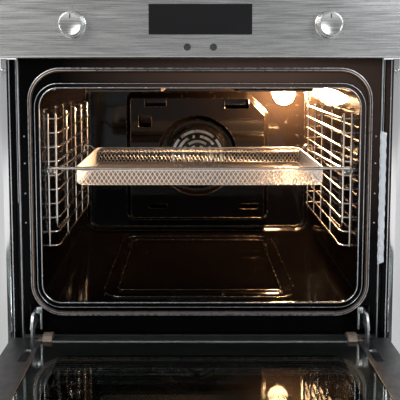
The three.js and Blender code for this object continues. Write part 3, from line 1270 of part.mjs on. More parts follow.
function doorColumn() {
  const outer = roundedRectangle(COLUMN_INNER, COLUMN_OUTER, FRAME_OUTER, DOOR_INNER, 2);
  outer.holes.push(roundedRectangle(COLUMN_INNER + COLUMN_WALL, COLUMN_OUTER - COLUMN_WALL,
    FRAME_OUTER + COLUMN_WALL, DOOR_INNER - COLUMN_WALL, 1));
  const tube = alongZ(outer, DOOR_BOTTOM, DOOR_TOP, { curveSegments: 3 });
  const slot = block(HINGE_X - HINGE_SLOT_WIDTH / 2, HINGE_X + HINGE_SLOT_WIDTH / 2,
    DOOR_INNER - 2 * COLUMN_WALL, DOOR_INNER + 1, HINGE_SLOT_BOTTOM, HINGE_SLOT_TOP);
  // the heel is rounded about the pivot, so that it turns clear of the trims
  const heel = cut(block(COLUMN_INNER - 1, COLUMN_OUTER + 1, PIVOT_Y, 0, DOOR_BOTTOM - 1, PIVOT_Z),
    cylinderX(-PIVOT_Y - FIT, COLUMN_INNER - 2, COLUMN_OUTER + 2, PIVOT_Y, PIVOT_Z, 48));
  return cut(tube, slot, heel);
}

function doorRail(z0, z1) {
  const outline = polygon([
    [FRAME_OUTER, z0], [DOOR_INNER, z0], [DOOR_INNER, z1], [FRAME_OUTER, z1],
  ]);
  outline.holes.push(polygon([
    [FRAME_OUTER + COLUMN_WALL, z0 + COLUMN_WALL], [FRAME_OUTER + COLUMN_WALL, z1 - COLUMN_WALL],
    [DOOR_INNER - COLUMN_WALL, z1 - COLUMN_WALL], [DOOR_INNER - COLUMN_WALL, z0 + COLUMN_WALL],
  ]));
  const rail = alongX(outline, -RAIL_HALF, RAIL_HALF);
  const pitch = RAIL_HALF / 3;
  const middle = (DOOR_INNER + DOOR_OUTER) / 2;
  const vents = slotRow(5, pitch, 0.7 * pitch, 0, (x0, x1) =>
    block(x0, x1, middle - 7, middle - 2, z0 - 1, z1 + 1));
  return cut(rail, ...vents);
}

function outerGlass() {
  return alongY(roundedRectangle(-FRONT_HALF, FRONT_HALF, DOOR_BOTTOM, DOOR_TOP, 3),
    DOOR_OUTER, DOOR_OUTER + OUTER_GLASS, { curveSegments: 3 });
}

function innerGlass() {
  return alongY(roundedRectangle(-RAIL_HALF, RAIL_HALF, DOOR_BOTTOM + RAIL_BOTTOM_HEIGHT + FIT,
    DOOR_TOP - RAIL_TOP_HEIGHT - FIT, 3), DOOR_INNER - INNER_GLASS, DOOR_INNER, { curveSegments: 3 });
}

function middleGlass() {
  const face = DOOR_INNER - MIDDLE_GLASS_INSET;
  return alongY(roundedRectangle(-RAIL_HALF, RAIL_HALF, DOOR_BOTTOM + RAIL_BOTTOM_HEIGHT + FIT,
    DOOR_TOP - RAIL_TOP_HEIGHT - FIT, 3), face - MIDDLE_GLASS, face, { curveSegments: 3 });
}

function doorHandle() {
  const z = DOOR_TOP - HANDLE_DROP;
  const seat = DOOR_OUTER - FIT;
  const front = DOOR_OUTER - HANDLE_REACH;
  const section = new THREE.Shape();
  section.absellipse(front + HANDLE_THICK / 2, z, HANDLE_THICK / 2, HANDLE_TALL / 2, 0, 2 * Math.PI);
  const bar = alongX(section, -HANDLE_LENGTH / 2, HANDLE_LENGTH / 2, { curveSegments: 10 });
  const posts = [-HANDLE_POST_X, HANDLE_POST_X].map((x) => alongY(
    roundedRectangle(x - HANDLE_POST / 2, x + HANDLE_POST / 2, z - HANDLE_POST / 2, z + HANDLE_POST / 2, 3),
    front + HANDLE_THICK / 2, seat, { curveSegments: 3 }));
  return join(bar, ...posts);
}

// Corner clip that keeps the inner pane in the frame.
function glassClip() {
  const seat = DOOR_INNER + FIT;
  const x1 = COLUMN_INNER - FIT;
  const profile = new THREE.Shape();
  const z0 = DOOR_BOTTOM + 2;
  profile.moveTo(seat, z0);
  profile.lineTo(seat, z0 + RAIL_BOTTOM_HEIGHT + 2);
  const proud = seat + GLASS_CLIP_HEIGHT;
  profile.quadraticCurveTo(proud, z0 + RAIL_BOTTOM_HEIGHT, proud, z0 + 6);
  profile.lineTo(proud - 2, z0);
  return alongX(profile, x1 - GLASS_CLIP_WIDTH, x1);
}

// ---- Mains terminal ---------------------------------------------------------------------

function terminalBox() {
  const x0 = TERMINAL_X - TERMINAL_WIDTH / 2;
  const z0 = TERMINAL_Z - TERMINAL_HEIGHT / 2;
  const y0 = HOUSING_DEPTH + FIT;
  const outline = roundedRectangle(x0 + 2, x0 + TERMINAL_WIDTH - 2,
    z0 + 2, z0 + TERMINAL_HEIGHT - 2, 3);
  const cover = common(alongY(outline, y0 - 10, y0 + TERMINAL_DEPTH - 2,
    { bevelEnabled: true, bevelSize: 2, bevelThickness: 2, bevelSegments: 2, curveSegments: 3 }),
    block(x0, x0 + TERMINAL_WIDTH, y0, y0 + TERMINAL_DEPTH, z0, z0 + TERMINAL_HEIGHT));
  const entry = cylinderX(5, x0 - 1, x0 + 14, y0 + TERMINAL_DEPTH / 2, TERMINAL_Z - 8, 14);
  const lid = block(x0 + 12, x0 + TERMINAL_WIDTH - 12,
    y0 + TERMINAL_DEPTH - 0.8, y0 + TERMINAL_DEPTH + 1, TERMINAL_Z + 8, TERMINAL_Z + 9.2);
  return cut(cover, entry, lid);
}

// ---- Assembly ---------------------------------------------------------------------------

const oven = new THREE.Group();
oven.position.y = -HOUSING_DEPTH / 2;

function add(group, name, geometry, look, x = 0, y = 0, z = 0) {
  const mesh = new THREE.Mesh(geometry, look);
  mesh.name = name;
  mesh.position.set(x, y, z);
  group.add(mesh);
  return mesh;
}

function addPair(group, name, geometry, look) {
  add(group, `${name}_right`, geometry, look);
  add(group, `${name}_left`, mirrored(geometry), look);
}

add(oven, 'housing_base', housingBase(), ZINC);
addPair(oven, 'housing_side', housingSide(), ZINC);
add(oven, 'housing_back', housingBack(), ZINC);
add(oven, 'housing_top', housingTop(), ZINC);
add(oven, 'blower_shelf', blowerShelf(), ZINC);
add(oven, 'terminal_box', terminalBox(), PLASTIC);

add(oven, 'front_plate', frontPlate(), ENAMEL);
add(oven, 'door_seal', doorSeal(), SEAL);
addPair(oven, 'side_trim', sideTrim(), STAINLESS);
addPair(oven, 'mounting_screw', mountingScrew(), STEEL);
add(oven, 'cavity_shell', cavityShell(), ENAMEL);
add(oven, 'cavity_back', cavityBack(), ENAMEL);
add(oven, 'insulation', insulation(), WOOL);

addPair(oven, 'side_rack', sideRack(), CHROME);
addPair(oven, 'rack_stud', rackStud(), STEEL);

add(oven, 'fan_cover', fanCover(), ENAMEL);
add(oven, 'fan_impeller', fanImpeller(), STEEL);
add(oven, 'fan_motor', fanMotor(), STEEL);
add(oven, 'ring_element', ringElement(), STEEL);
add(oven, 'grill_element', grillElement(), STEEL);
add(oven, 'floor_element', floorElement(), STEEL);

add(oven, 'lamp_socket', lampSocket(), CERAMIC);
add(oven, 'lamp_bulb', lampBulb(), BULB);
add(oven, 'lamp_glass', lampGlass(), CLEAR_GLASS);

add(oven, 'blower_duct', blowerDuct(), ZINC);
add(oven, 'blower_rotor', blowerRotor(), PLASTIC);

add(oven, 'control_fascia', controlFascia(), STAINLESS);
add(oven, 'display_window', displayWindow(), BLACK_GLASS);
add(oven, 'control_board', controlBoard(), BOARD);
add(oven, 'selector_left', selector(), PLASTIC, -KNOB_X, 0, KNOB_Z);
add(oven, 'selector_right', selector(), PLASTIC, KNOB_X, 0, KNOB_Z);
add(oven, 'knob_left', knob(), STAINLESS, -KNOB_X, 0, KNOB_Z);
add(oven, 'knob_right', knob(), STAINLESS, KNOB_X, 0, KNOB_Z);
buttonPlaces().forEach((x, i) => add(oven, `button_${i + 1}`, button(), PLASTIC, x, 0, BUTTON_Z));

addPair(oven, 'hinge_receiver', hingeReceiver(), ZINC);
addPair(oven, 'hinge_arm', hingeArm(), CHROME);
for (const [side, sign] of [['left', -1], ['right', 1]]) {
  const inner = HINGE_X + ARM_THICK / 2 + FIT;
  const lever = sign > 0 ? hingeLock() : mirrored(hingeLock());
  const mesh = add(oven, `hinge_lock_${side}`, lever, CHROME, sign * inner, LOCK_PIVOT_Y, LOCK_PIVOT_Z);
  mesh.rotation.x = -degrees(LOCK_LEAN);
}

add(oven, 'basket_frame', basketFrame(), CHROME);
add(oven, 'basket_mesh', basketMesh(), CHROME);

// The door is drawn closed about its pivot and stands open.
const door = new THREE.Group();
door.position.set(0, PIVOT_Y, PIVOT_Z);
door.rotation.x = degrees(DOOR_OPEN_ANGLE);
const closed = new THREE.Group();
closed.position.set(0, -PIVOT_Y, -PIVOT_Z);
door.add(closed);
oven.add(door);

add(closed, 'door_outer_glass', outerGlass(), BLACK_GLASS);
add(closed, 'door_middle_glass', middleGlass(), CLEAR_GLASS);
add(closed, 'door_inner_glass', innerGlass(), CLEAR_GLASS);
addPair(closed, 'door_column', doorColumn(), ALUMINIUM);
add(closed, 'door_top_rail', doorRail(DOOR_TOP - RAIL_TOP_HEIGHT, DOOR_TOP), ALUMINIUM);
add(closed, 'door_bottom_rail', doorRail(DOOR_BOTTOM, DOOR_BOTTOM + RAIL_BOTTOM_HEIGHT), ALUMINIUM);
addPair(closed, 'hinge_body', hingeBody(), STEEL);
addPair(closed, 'glass_clip', glassClip(), BRONZE);
add(closed, 'door_handle', doorHandle(), STAINLESS);

export default oven;
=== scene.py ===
import json
import math

import bpy
from mathutils import Matrix, Vector

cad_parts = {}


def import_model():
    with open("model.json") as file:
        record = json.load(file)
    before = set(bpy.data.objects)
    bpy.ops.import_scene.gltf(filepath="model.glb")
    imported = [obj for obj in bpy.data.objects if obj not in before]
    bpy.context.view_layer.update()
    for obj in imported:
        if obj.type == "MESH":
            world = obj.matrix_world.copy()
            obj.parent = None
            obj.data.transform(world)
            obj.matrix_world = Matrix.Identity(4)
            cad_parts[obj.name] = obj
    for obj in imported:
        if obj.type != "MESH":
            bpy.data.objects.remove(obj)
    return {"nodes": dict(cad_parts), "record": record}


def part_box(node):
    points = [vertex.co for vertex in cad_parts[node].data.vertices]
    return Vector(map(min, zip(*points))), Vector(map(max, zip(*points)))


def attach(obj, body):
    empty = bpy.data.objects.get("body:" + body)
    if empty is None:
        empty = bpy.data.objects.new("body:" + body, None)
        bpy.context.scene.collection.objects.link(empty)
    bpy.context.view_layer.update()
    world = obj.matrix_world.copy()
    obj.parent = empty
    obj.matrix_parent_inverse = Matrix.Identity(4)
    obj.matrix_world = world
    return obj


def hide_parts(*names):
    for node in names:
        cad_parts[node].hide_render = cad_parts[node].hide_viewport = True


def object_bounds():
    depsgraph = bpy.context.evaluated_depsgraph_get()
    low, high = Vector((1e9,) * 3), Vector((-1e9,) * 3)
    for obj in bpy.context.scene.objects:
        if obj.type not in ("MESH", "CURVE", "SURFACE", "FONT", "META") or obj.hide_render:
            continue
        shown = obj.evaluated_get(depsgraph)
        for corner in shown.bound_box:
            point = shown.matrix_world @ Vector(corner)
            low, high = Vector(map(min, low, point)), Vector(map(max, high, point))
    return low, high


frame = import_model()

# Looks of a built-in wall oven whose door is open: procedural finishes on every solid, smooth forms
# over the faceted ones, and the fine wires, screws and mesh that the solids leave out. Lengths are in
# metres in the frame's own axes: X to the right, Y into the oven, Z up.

CAD_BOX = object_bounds()
MM = 0.001
SCENE = bpy.context.scene


def mm(*values):
    """Lengths typed in millimetres, as metres; a group in brackets stays a group."""
    return [tuple(mm(*v)) if isinstance(v, tuple) else v * MM for v in values]


def middle(node):
    """The middle of a node's box."""
    low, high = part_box(node)
    return (low + high) / 2


# ---- Places taken from the frame ----

FACE_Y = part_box("side_trim_left")[0].y  # the front plate's face
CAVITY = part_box("cavity_shell")
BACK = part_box("cavity_back")
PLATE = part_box("front_plate")
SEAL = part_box("door_seal")
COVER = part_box("fan_cover")
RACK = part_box("side_rack_right")
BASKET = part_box("basket_mesh")
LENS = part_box("lamp_glass")
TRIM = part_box("side_trim_right")
CLIP_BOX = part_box("glass_clip_right")
HINGE_X = middle("hinge_arm_right").x
FAN_CENTRE = middle("fan_impeller")

SHEET = 1.2 * MM
CAVITY_HALF = CAVITY[1].x - SHEET
CAVITY_FLOOR = CAVITY[0].z + SHEET
CAVITY_CEILING = CAVITY[1].z - SHEET
CAVITY_RADIUS = 28 * MM
OPENING_TOP = CAVITY_CEILING - 8 * MM
REAR_FILLET = 8 * MM
CAVITY_REAR = BACK[0].y + REAR_FILLET


# ---- Mesh building ----

class Shape:
    """Collects the vertices and faces of one piece."""

    def __init__(self):
        self.verts = []
        self.faces = []

    def add(self, verts, faces):
        base = len(self.verts)
        self.verts.extend(Vector(v) for v in verts)
        self.faces.extend(tuple(base + i for i in face) for face in faces)
        return self

    def loft(self, rings, closed=False):
        """Skins rings of equally many points; closed joins the last ring to the first."""
        count = len(rings[0])
        verts = [p for ring in rings for p in ring]
        faces = []
        for r in range(len(rings) if closed else len(rings) - 1):
            here = r * count
            there = ((r + 1) % len(rings)) * count
            for i in range(count):
                j = (i + 1) % count
                faces.append((here + i, here + j, there + j, there + i))
        if not closed:
            faces.append(tuple(reversed(range(count))))
            faces.append(tuple((len(rings) - 1) * count + i for i in range(count)))
        return self.add(verts, faces)

    def tube(self, path, radius, sides, closed=False):
        """A round wire along a path of points."""
        return self.loft(sections(path, radius, sides, closed), closed)

    def revolve(self, profile, x, z, sides):
        """A body of revolution about the Y axis through (x, z), from (radius, y) points."""
        return self.loft([circle((x, y, z), radius, sides) for radius, y in profile])

    def box(self, low, high):
        (x0, y0, z0), (x1, y1, z1) = low, high
        return self.loft([at_z([(x0, y0), (x1, y0), (x1, y1), (x0, y1)], z) for z in (z0, z1)])

    def sheet(self, outlines, y0, y1, edge=0.0):
        """A flat sheet in X-Z between two depths; the first outline is its edge, the rest are holes."""
        curve = bpy.data.curves.new("sheet", "CURVE")
        curve.dimensions = "2D"
        curve.fill_mode = "BOTH"
        curve.extrude = (y1 - y0) / 2 - edge
        curve.bevel_depth = edge
        curve.bevel_resolution = 1
        curve.offset = -edge
        for outline in outlines:
            spline = curve.splines.new("POLY")
            spline.points.add(len(outline) - 1)
            for point, (x, z) in zip(spline.points, outline):
                point.co = (x, z, 0, 1)
            spline.use_cyclic_u = True
        source = bpy.data.objects.new("sheet", curve)
        SCENE.collection.objects.link(source)
        mesh = evaluated_mesh(source)
        bpy.data.objects.remove(source)
        mesh.transform(Matrix.Translation((0, (y0 + y1) / 2, 0)) @ Matrix.Rotation(math.pi / 2, 4, "X"))
        return self.add([v.co for v in mesh.vertices], [tuple(p.vertices) for p in mesh.polygons])

    def mirrored(self):
        """The same shape on the other side of the oven."""
        other = Shape()
        other.verts = [Vector((-v.x, v.y, v.z)) for v in self.verts]
        other.faces = [tuple(reversed(face)) for face in self.faces]
        return other

    def add_pair(self, half):
        """Adds a right-hand shape and its mirror image."""
        for made in (half, half.mirrored()):
            self.add(made.verts, made.faces)
        return self

    def make(self, name, sharp=35):
        mesh = bpy.data.meshes.new(name)
        mesh.from_pydata([tuple(v) for v in self.verts], [], self.faces)
        mesh.validate()
        smooth(mesh, sharp)
        obj = bpy.data.objects.new(name, mesh)
        SCENE.collection.objects.link(obj)
        return obj


def smooth(mesh, sharp=35):
    """Smooth shading, with an edge left sharp where it folds by more than an angle in degrees."""
    mesh.polygons.foreach_set("use_smooth", [True] * len(mesh.polygons))
    mesh.set_sharp_from_angle(angle=math.radians(sharp))


def circle(centre, radius, sides, plane="xz", squash=1.0):
    """Points of a circle, or of an oval, in a plane named by its two axes."""
    first, second = ("xyz".index(axis) for axis in plane)
    points = []
    for i in range(sides):
        angle = 2 * math.pi * i / sides
        point = list(centre)
        point[first] += radius * math.cos(angle)
        point[second] += radius * squash * math.sin(angle)
        points.append(Vector(point))
    return points


def sections(path, radius, sides, closed):
    """Rings round a path, turned as little as possible from one point to the next."""
    points = [Vector(p) for p in path]
    start, end = (points[-1], points[0]) if closed else (points[0], points[-1])
    tangents = [(ahead - behind).normalized()
                for behind, ahead in zip([start] + points, points[1:] + [end])]
    side = tangents[0].orthogonal().normalized()
    spokes = circle((0, 0, 0), 1, sides, "xy")
    rings = []
    for point, tangent in zip(points, tangents):
        side = (side - tangent * side.dot(tangent)).normalized()
        up = tangent.cross(side)
        rings.append([point + radius * (side * spoke.x + up * spoke.y) for spoke in spokes])
    return rings


def bend(points, radius, steps):
    """A path whose corners are rounded."""
    points = [Vector(p) for p in points]
    path = [points[0]]
    for before, point, after in zip(points, points[1:], points[2:]):
        back = before - point
        ahead = after - point
        reach = min(radius, back.length * 0.49, ahead.length * 0.49)
        start = point + back.normalized() * reach
        end = point + ahead.normalized() * reach
        for k in range(steps + 1):
            t = k / steps
            path.append(start.lerp(point, t).lerp(point.lerp(end, t), t))
    return path + [points[-1]]


def dense(ring, step):
    """A closed ring with points added along its straight stretches."""
    points = []
    for point, after in zip(ring, ring[1:] + ring[:1]):
        count = max(1, int((after - point).length / step))
        points += [point.lerp(after, k / count) for k in range(count)]
    return points


def corner_arc(x, z, quarter, share, radius, steps):
    """The rounded corner at (x, z): its arc starts after some quarter turns and spans a share of one."""
    start = math.pi / 2 * quarter
    span = math.pi / 2 * share
    away = radius / math.cos(span / 2)
    cx = x - away * math.cos(start + span / 2)
    cz = z - away * math.sin(start + span / 2)
    angles = [start + span * k / steps for k in range(steps + 1)]
    return [(cx + radius * math.cos(angle), cz + radius * math.sin(angle)) for angle in angles]


def rounded(x0, x1, z0, z1, radius, steps=10):
    """Points of a rounded rectangle, the same number whatever its size."""
    corners = [(x1, z1), (x0, z1), (x0, z0), (x1, z0)]
    return [point for quarter, (x, z) in enumerate(corners)
            for point in corner_arc(x, z, quarter, 1, radius, steps)]


def edges(box, grow, axes="xz"):
    """Both ends of a box along two axes, moved outwards by a distance."""
    low, high = box
    return [end for i in map("xyz".index, axes) for end in (low[i] - grow, high[i] + grow)]


def at_y(outline, y):
    return [Vector((x, y, z)) for x, z in outline]


def at_z(outline, z):
    return [Vector((x, y, z)) for x, y in outline]


def evaluated_mesh(obj):
    """A new mesh of an object's shape, with its modifiers or its curve worked out."""
    return bpy.data.meshes.new_from_object(obj.evaluated_get(bpy.context.evaluated_depsgraph_get()))


def dress(obj, finish, body, slot, *nodes):
    """Gives a piece its finish, the body that it moves with and the nodes that it stands for."""
    obj.data.materials.clear()
    obj.data.materials.append(finish)
    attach(obj, body)
    if nodes:
        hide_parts(*nodes)


def dress_pair(shape, name, finish, body, slot):
    """Dresses a right-hand shape and its mirror image, which replace no node."""
    for side, made in (("right", shape), ("left", shape.mirrored())):
        dress(made.make(f"{name}_{side}"), finish, body, slot)


# ---- Finishes ----

class Nodes:
    """Adds nodes to the tree of a material or of the world."""

    def __init__(self, owner):
        owner.use_nodes = True
        self.tree = owner.node_tree

    def node(self, kind, *values, operation=None, **inputs):
        """A new node whose sockets take the values in order, and the inputs by name."""
        node = self.tree.nodes.new(kind)
        if operation:
            node.operation = operation
        named = [(node.inputs[name.replace("_", " ")], value) for name, value in inputs.items()]
        for socket, value in [*zip(node.inputs, values), *named]:
            if isinstance(value, bpy.types.NodeSocket):
                self.tree.links.new(value, socket)
            else:
                socket.default_value = value
        return node


class Finish(Nodes):
    """Builds one material step by step on a Principled shader."""

    def __init__(self, name, color, roughness, metallic=0.0):
        self.material = bpy.data.materials.new(name)
        super().__init__(self.material)
        self.shader = self.tree.nodes["Principled BSDF"]
        self.color = color
        self.roughness = roughness
        self.set("Metallic", metallic)
        self.place = self.tree.nodes.new("ShaderNodeTexCoord").outputs["Object"]

    def set(self, socket, value):
        self.shader.inputs[socket].default_value = value
        return self

    def noise(self, scale, detail, stretch=(1, 1, 1)):
        mapping = self.node("ShaderNodeMapping", Vector=self.place, Scale=stretch)
        made = self.node("ShaderNodeTexNoise", Vector=mapping.outputs["Vector"], Scale=scale, Detail=detail)
        return made.outputs["Fac"]

    def cells(self, scale, feature="F1"):
        made = self.node("ShaderNodeTexVoronoi", Vector=self.place, Scale=scale)
        made.feature = feature
        return made.outputs["Color"] if feature == "F1" else made.outputs["Distance"]

    def along(self, axis):
        """The place along one axis of the oven."""
        return self.node("ShaderNodeSeparateXYZ", Vector=self.place).outputs[axis]

    def ranged(self, value, low, high, start=0.3, end=0.7):
        made = self.node("ShaderNodeMapRange", Value=value, From_Min=start, From_Max=end,
                         To_Min=low, To_Max=high)
        return made.outputs["Result"]

    def vary_color(self, factor, other):
        mix = self.tree.nodes.new("ShaderNodeMix")
        mix.data_type = "RGBA"
        self.tree.links.new(factor, mix.inputs[0])
        mix.inputs[6].default_value = (*self.color, 1)
        mix.inputs[7].default_value = (*other, 1)
        self.tree.links.new(mix.outputs[2], self.shader.inputs["Base Color"])
        return self

    def vary_roughness(self, factor, spread):
        made = self.ranged(factor, max(0.01, self.roughness - spread), self.roughness + spread)
        self.tree.links.new(made, self.shader.inputs["Roughness"])
        return self

    def bump(self, height, strength, distance):
        made = self.node("ShaderNodeBump", Height=height, Strength=strength, Distance=distance)
        self.tree.links.new(made.outputs["Normal"], self.shader.inputs["Normal"])
        return self


def varied(name, color, other, roughness, metallic, patches, wear, relief=None, **settings):
    """A finish whose colour, roughness and surface vary with three noises, each (scale, detail, ...).

    After these two numbers patches may have the range of the noise that is used, wear has the
    spread of the roughness, and relief has the strength and the distance of the bump."""
    made = Finish(name, color, roughness, metallic)
    for socket, value in settings.items():
        made.set(socket.replace("_", " "), value)
    made.vary_color(made.ranged(made.noise(*patches[:2]), 0, 1, *patches[2:]), other)
    made.vary_roughness(made.noise(*wear[:2]), wear[2])
    if relief:
        made.bump(made.noise(*relief[:2]), *relief[2:])
    return made.material


def glazed(made, factor, warm_tint, spread):
    """Ends an enamel: warmer in colour where the factor says, which on the front plate is painted glow,
    slightly uneven and orange-peeled.
    """
    made.vary_color(factor, warm_tint)
    made.vary_roughness(made.noise(9, 4), spread)
    return made.bump(made.noise(260, 2), 0.05, 0.0003).material


def enamel(low, high):
    """The cavity's enamel, a little browner towards the ceiling."""
    made = Finish("black_enamel_finish", (0.0009, 0.0006, 0.0005), 0.075).set("Specular IOR Level", 0.22)
    return glazed(made, made.ranged(made.along("Z"), 0, 1, low, high), (0.0050, 0.0034, 0.0024), 0.026)


def glow_painted_enamel(centre, near, far):
    """Enamel of the front plate, with a painted glow of the lamp's light: warmer and browner round a spot
    above the lamp.
    """
    made = Finish("plate_enamel_finish", (0.0011, 0.0009, 0.0008), 0.11).set("Specular IOR Level", 0.05)
    away = made.node("ShaderNodeVectorMath", made.place, centre, operation="DISTANCE")
    return glazed(made, made.ranged(away.outputs["Value"], 1, 0, near, far), (0.066, 0.041, 0.031), 0.04)


def zinc():
    made = Finish("zinc_sheet_finish", (0.50, 0.52, 0.53), 0.42, 0.85)
    made.vary_color(made.ranged(made.cells(70), 0, 1, 0.1, 0.9), (0.66, 0.68, 0.69))
    made.vary_roughness(made.noise(35, 5), 0.1)
    return made.bump(made.noise(420, 2), 0.05, 0.0003).material


def brushed(name, color, roughness, stretch, other):
    made = Finish(name, color, roughness, 1.0)
    grain = made.noise(900, 3, stretch)
    made.vary_color(made.ranged(grain, 0, 1), other)
    made.vary_roughness(grain, 0.07)
    return made.bump(grain, 0.06, 0.0002).material


def chrome():
    return varied("chrome_wire_finish", (0.86, 0.84, 0.81), (0.70, 0.66, 0.60), 0.19, 1.0,
                  (60, 4, 0.4, 0.75), (90, 4, 0.06), (700, 2, 0.04, 0.0002))


def steel(name, color, other, roughness):
    return varied(name, color, other, roughness, 1.0, (80, 5), (120, 4, 0.09), (500, 2, 0.06, 0.0003))


def seal_rubber():
    return varied("seal_finish", (0.036, 0.037, 0.043), (0.058, 0.060, 0.068), 0.30, 0.0,
                  (160, 5), (60, 4, 0.06), (900, 3, 0.12, 0.0003), Specular_IOR_Level=0.9)


def wire_mesh(name, near, far):
    """Bright wire with painted shade towards the rear, where the lamp lights only the outside of the
    basket's back wall.
    """
    made = Finish(name, near, 0.40, 0.34)
    rearwards = made.ranged(made.along("Y"), 0, 1, *REAR_SHADE_DEPTHS)
    patches = made.ranged(made.noise(80, 5), 0.8, 1.0)
    rear_shade = made.node("ShaderNodeMath", rearwards, patches, operation="MULTIPLY")
    made.vary_color(rear_shade.outputs["Value"], far)
    made.vary_roughness(made.noise(120, 4), 0.08)
    return made.bump(made.noise(500, 2), 0.06, 0.0003).material


def wool():
    return varied("mineral_wool_finish", (0.56, 0.47, 0.28), (0.72, 0.64, 0.44), 0.95, 0.0,
                  (120, 8), (40, 4, 0.04), (300, 8, 0.8, 0.002))


def black_glass():
    return varied("black_glass_finish", (0.0035, 0.0035, 0.004), (0.006, 0.006, 0.007), 0.045, 0.0,
                  (14, 4), (22, 5, 0.02), (18, 1, 0.004, 0.0002), Coat_Weight=0.5, Coat_Roughness=0.03)


def clear_glass():
    return varied("clear_glass_finish", (0.80, 0.86, 0.84), (0.74, 0.82, 0.79), 0.014, 0.0,
                  (12, 3), (30, 5, 0.004), Transmission_Weight=1.0, IOR=1.5)


def plastic(name, color, other):
    return varied(name, color, other, 0.46, 0.0, (60, 5), (90, 4, 0.08), (1100, 2, 0.2, 0.0003))


def board():
    made = Finish("circuit_board_finish", (0.02, 0.13, 0.06), 0.35)
    tracks = made.ranged(made.cells(160, "DISTANCE_TO_EDGE"), 1, 0, 0.03, 0.06)
    made.vary_color(tracks, (0.05, 0.24, 0.12))
    made.vary_roughness(made.noise(50, 3), 0.05)
    return made.bump(tracks, 0.2, 0.0002).material


def ceramic():
    return varied("lamp_ceramic_finish", (0.80, 0.76, 0.68), (0.70, 0.65, 0.56), 0.7, 0.0,
                  (200, 6), (60, 3, 0.08), (800, 3, 0.3, 0.0003))


def glowing(name, color, strength):
    return varied(name, (0.95, 0.85, 0.65), (0.95, 0.78, 0.52), 0.15, 0.0,
                  (90, 3), (150, 3, 0.05), (240, 2, 0.2, 0.0006),
                  Emission_Color=(*color, 1), Emission_Strength=strength)


def foil():
    made = Finish("foil_strip_finish", (0.82, 0.85, 0.90), 0.34, 0.8)
    creases = made.noise(150, 5, (1, 1, 0.5))
    made.vary_color(made.ranged(creases, 0, 1), (0.68, 0.71, 0.76))
    made.vary_roughness(creases, 0.08)
    return made.bump(creases, 0.35, 0.0006).material


def bronze():
    return varied("bronze_clip_finish", (0.20, 0.155, 0.125), (0.27, 0.21, 0.17), 0.38, 0.5,
                  (150, 4), (90, 3, 0.08), (700, 3, 0.15, 0.0003))


REAR_SHADE_DEPTHS = (-0.18, -0.04)  # where the painted shade on the mesh starts and where it's darkest
BROWN_HEIGHTS = (0.20, 0.44)  # where the cavity's enamel starts to turn browner and where it's brownest
# the painted glow of the lamp's light on the front plate: its centre, then where it starts to fade and
# where it's gone
PAINTED_GLOW_SPOT = (0.09, FACE_Y, 0.475)
PAINTED_GLOW_REACH = (0.05, 0.30)
ALONG_X = (0.02, 1, 1)  # stretches of the brushed grain
ALONG_Z = (1, 1, 0.02)

ENAMEL = enamel(*BROWN_HEIGHTS)
# front plate enamel, with the lamp's glow painted into its colour
PLATE_ENAMEL = glow_painted_enamel(PAINTED_GLOW_SPOT, *PAINTED_GLOW_REACH)
ZINC = zinc()
BRUSHED = brushed("brushed_stainless_finish", (0.60, 0.60, 0.59), 0.27, ALONG_X, (0.70, 0.70, 0.69))
POLISHED = brushed("polished_trim_finish", (0.92, 0.92, 0.93), 0.09, ALONG_Z, (0.96, 0.96, 0.97))
EDGE = steel("polished_edge_finish", (0.60, 0.61, 0.64), (0.72, 0.73, 0.76), 0.22)
# painted highlight: warm bright metal for the wires that stand in for lit enamel edges
EDGE_HIGHLIGHT = steel("edge_highlight_finish", (0.17, 0.145, 0.12), (0.26, 0.22, 0.18), 0.24)
PLATED = steel("plated_hinge_finish", (0.84, 0.86, 0.87), (0.94, 0.95, 0.96), 0.33)
ANODISED = plastic("black_anodised_finish", (0.012, 0.012, 0.013), (0.020, 0.020, 0.021))
DARK_STEEL = steel("dark_steel_finish", (0.10, 0.10, 0.10), (0.17, 0.165, 0.16), 0.42)
CHROME = chrome()
STEEL = steel("bright_steel_finish", (0.42, 0.42, 0.42), (0.55, 0.54, 0.53), 0.34)
# wall mesh: bright wire, with painted shade towards the rear
MESH_STEEL = wire_mesh("basket_wire_finish", (0.90, 0.89, 0.88), (0.20, 0.20, 0.20))
# floor mesh: darker all over, partly painted shade and partly grease, and with painted shade towards the
# rear as well
PAN_FLOOR = wire_mesh("basket_floor_shade_and_grease_finish", (0.24, 0.20, 0.16), (0.13, 0.105, 0.085))
# painted highlights of the seal: cool bright metal, and a warm tan for the lamp's light
SEAL_HIGHLIGHT = steel("seal_highlight_finish", (0.62, 0.64, 0.70), (0.74, 0.76, 0.82), 0.28)
WARM_SEAL_HIGHLIGHT = steel("seal_inner_highlight_finish", (0.62, 0.40, 0.25), (0.74, 0.50, 0.33), 0.34)
HEATER = steel("heater_sheath_finish", (0.11, 0.105, 0.10), (0.20, 0.16, 0.13), 0.5)
RUBBER = seal_rubber()
WOOL = wool()
BLACK_GLASS = black_glass()
CLEAR_GLASS = clear_glass()
PLASTIC = plastic("black_plastic_finish", (0.022, 0.022, 0.024), (0.032, 0.032, 0.034))
BOARD = board()
CERAMIC = ceramic()
BULB = glowing("lamp_bulb_finish", (1.0, 0.80, 0.48), 30.0)
LENS_GLOW = glowing("lamp_lens_finish", (1.0, 0.66, 0.32), 14.0)
FOIL = foil()
BRONZE = bronze()
ALUMINIUM = brushed("aluminium_profile_finish", (0.52, 0.50, 0.46), 0.34, ALONG_X, (0.60, 0.58, 0.53))

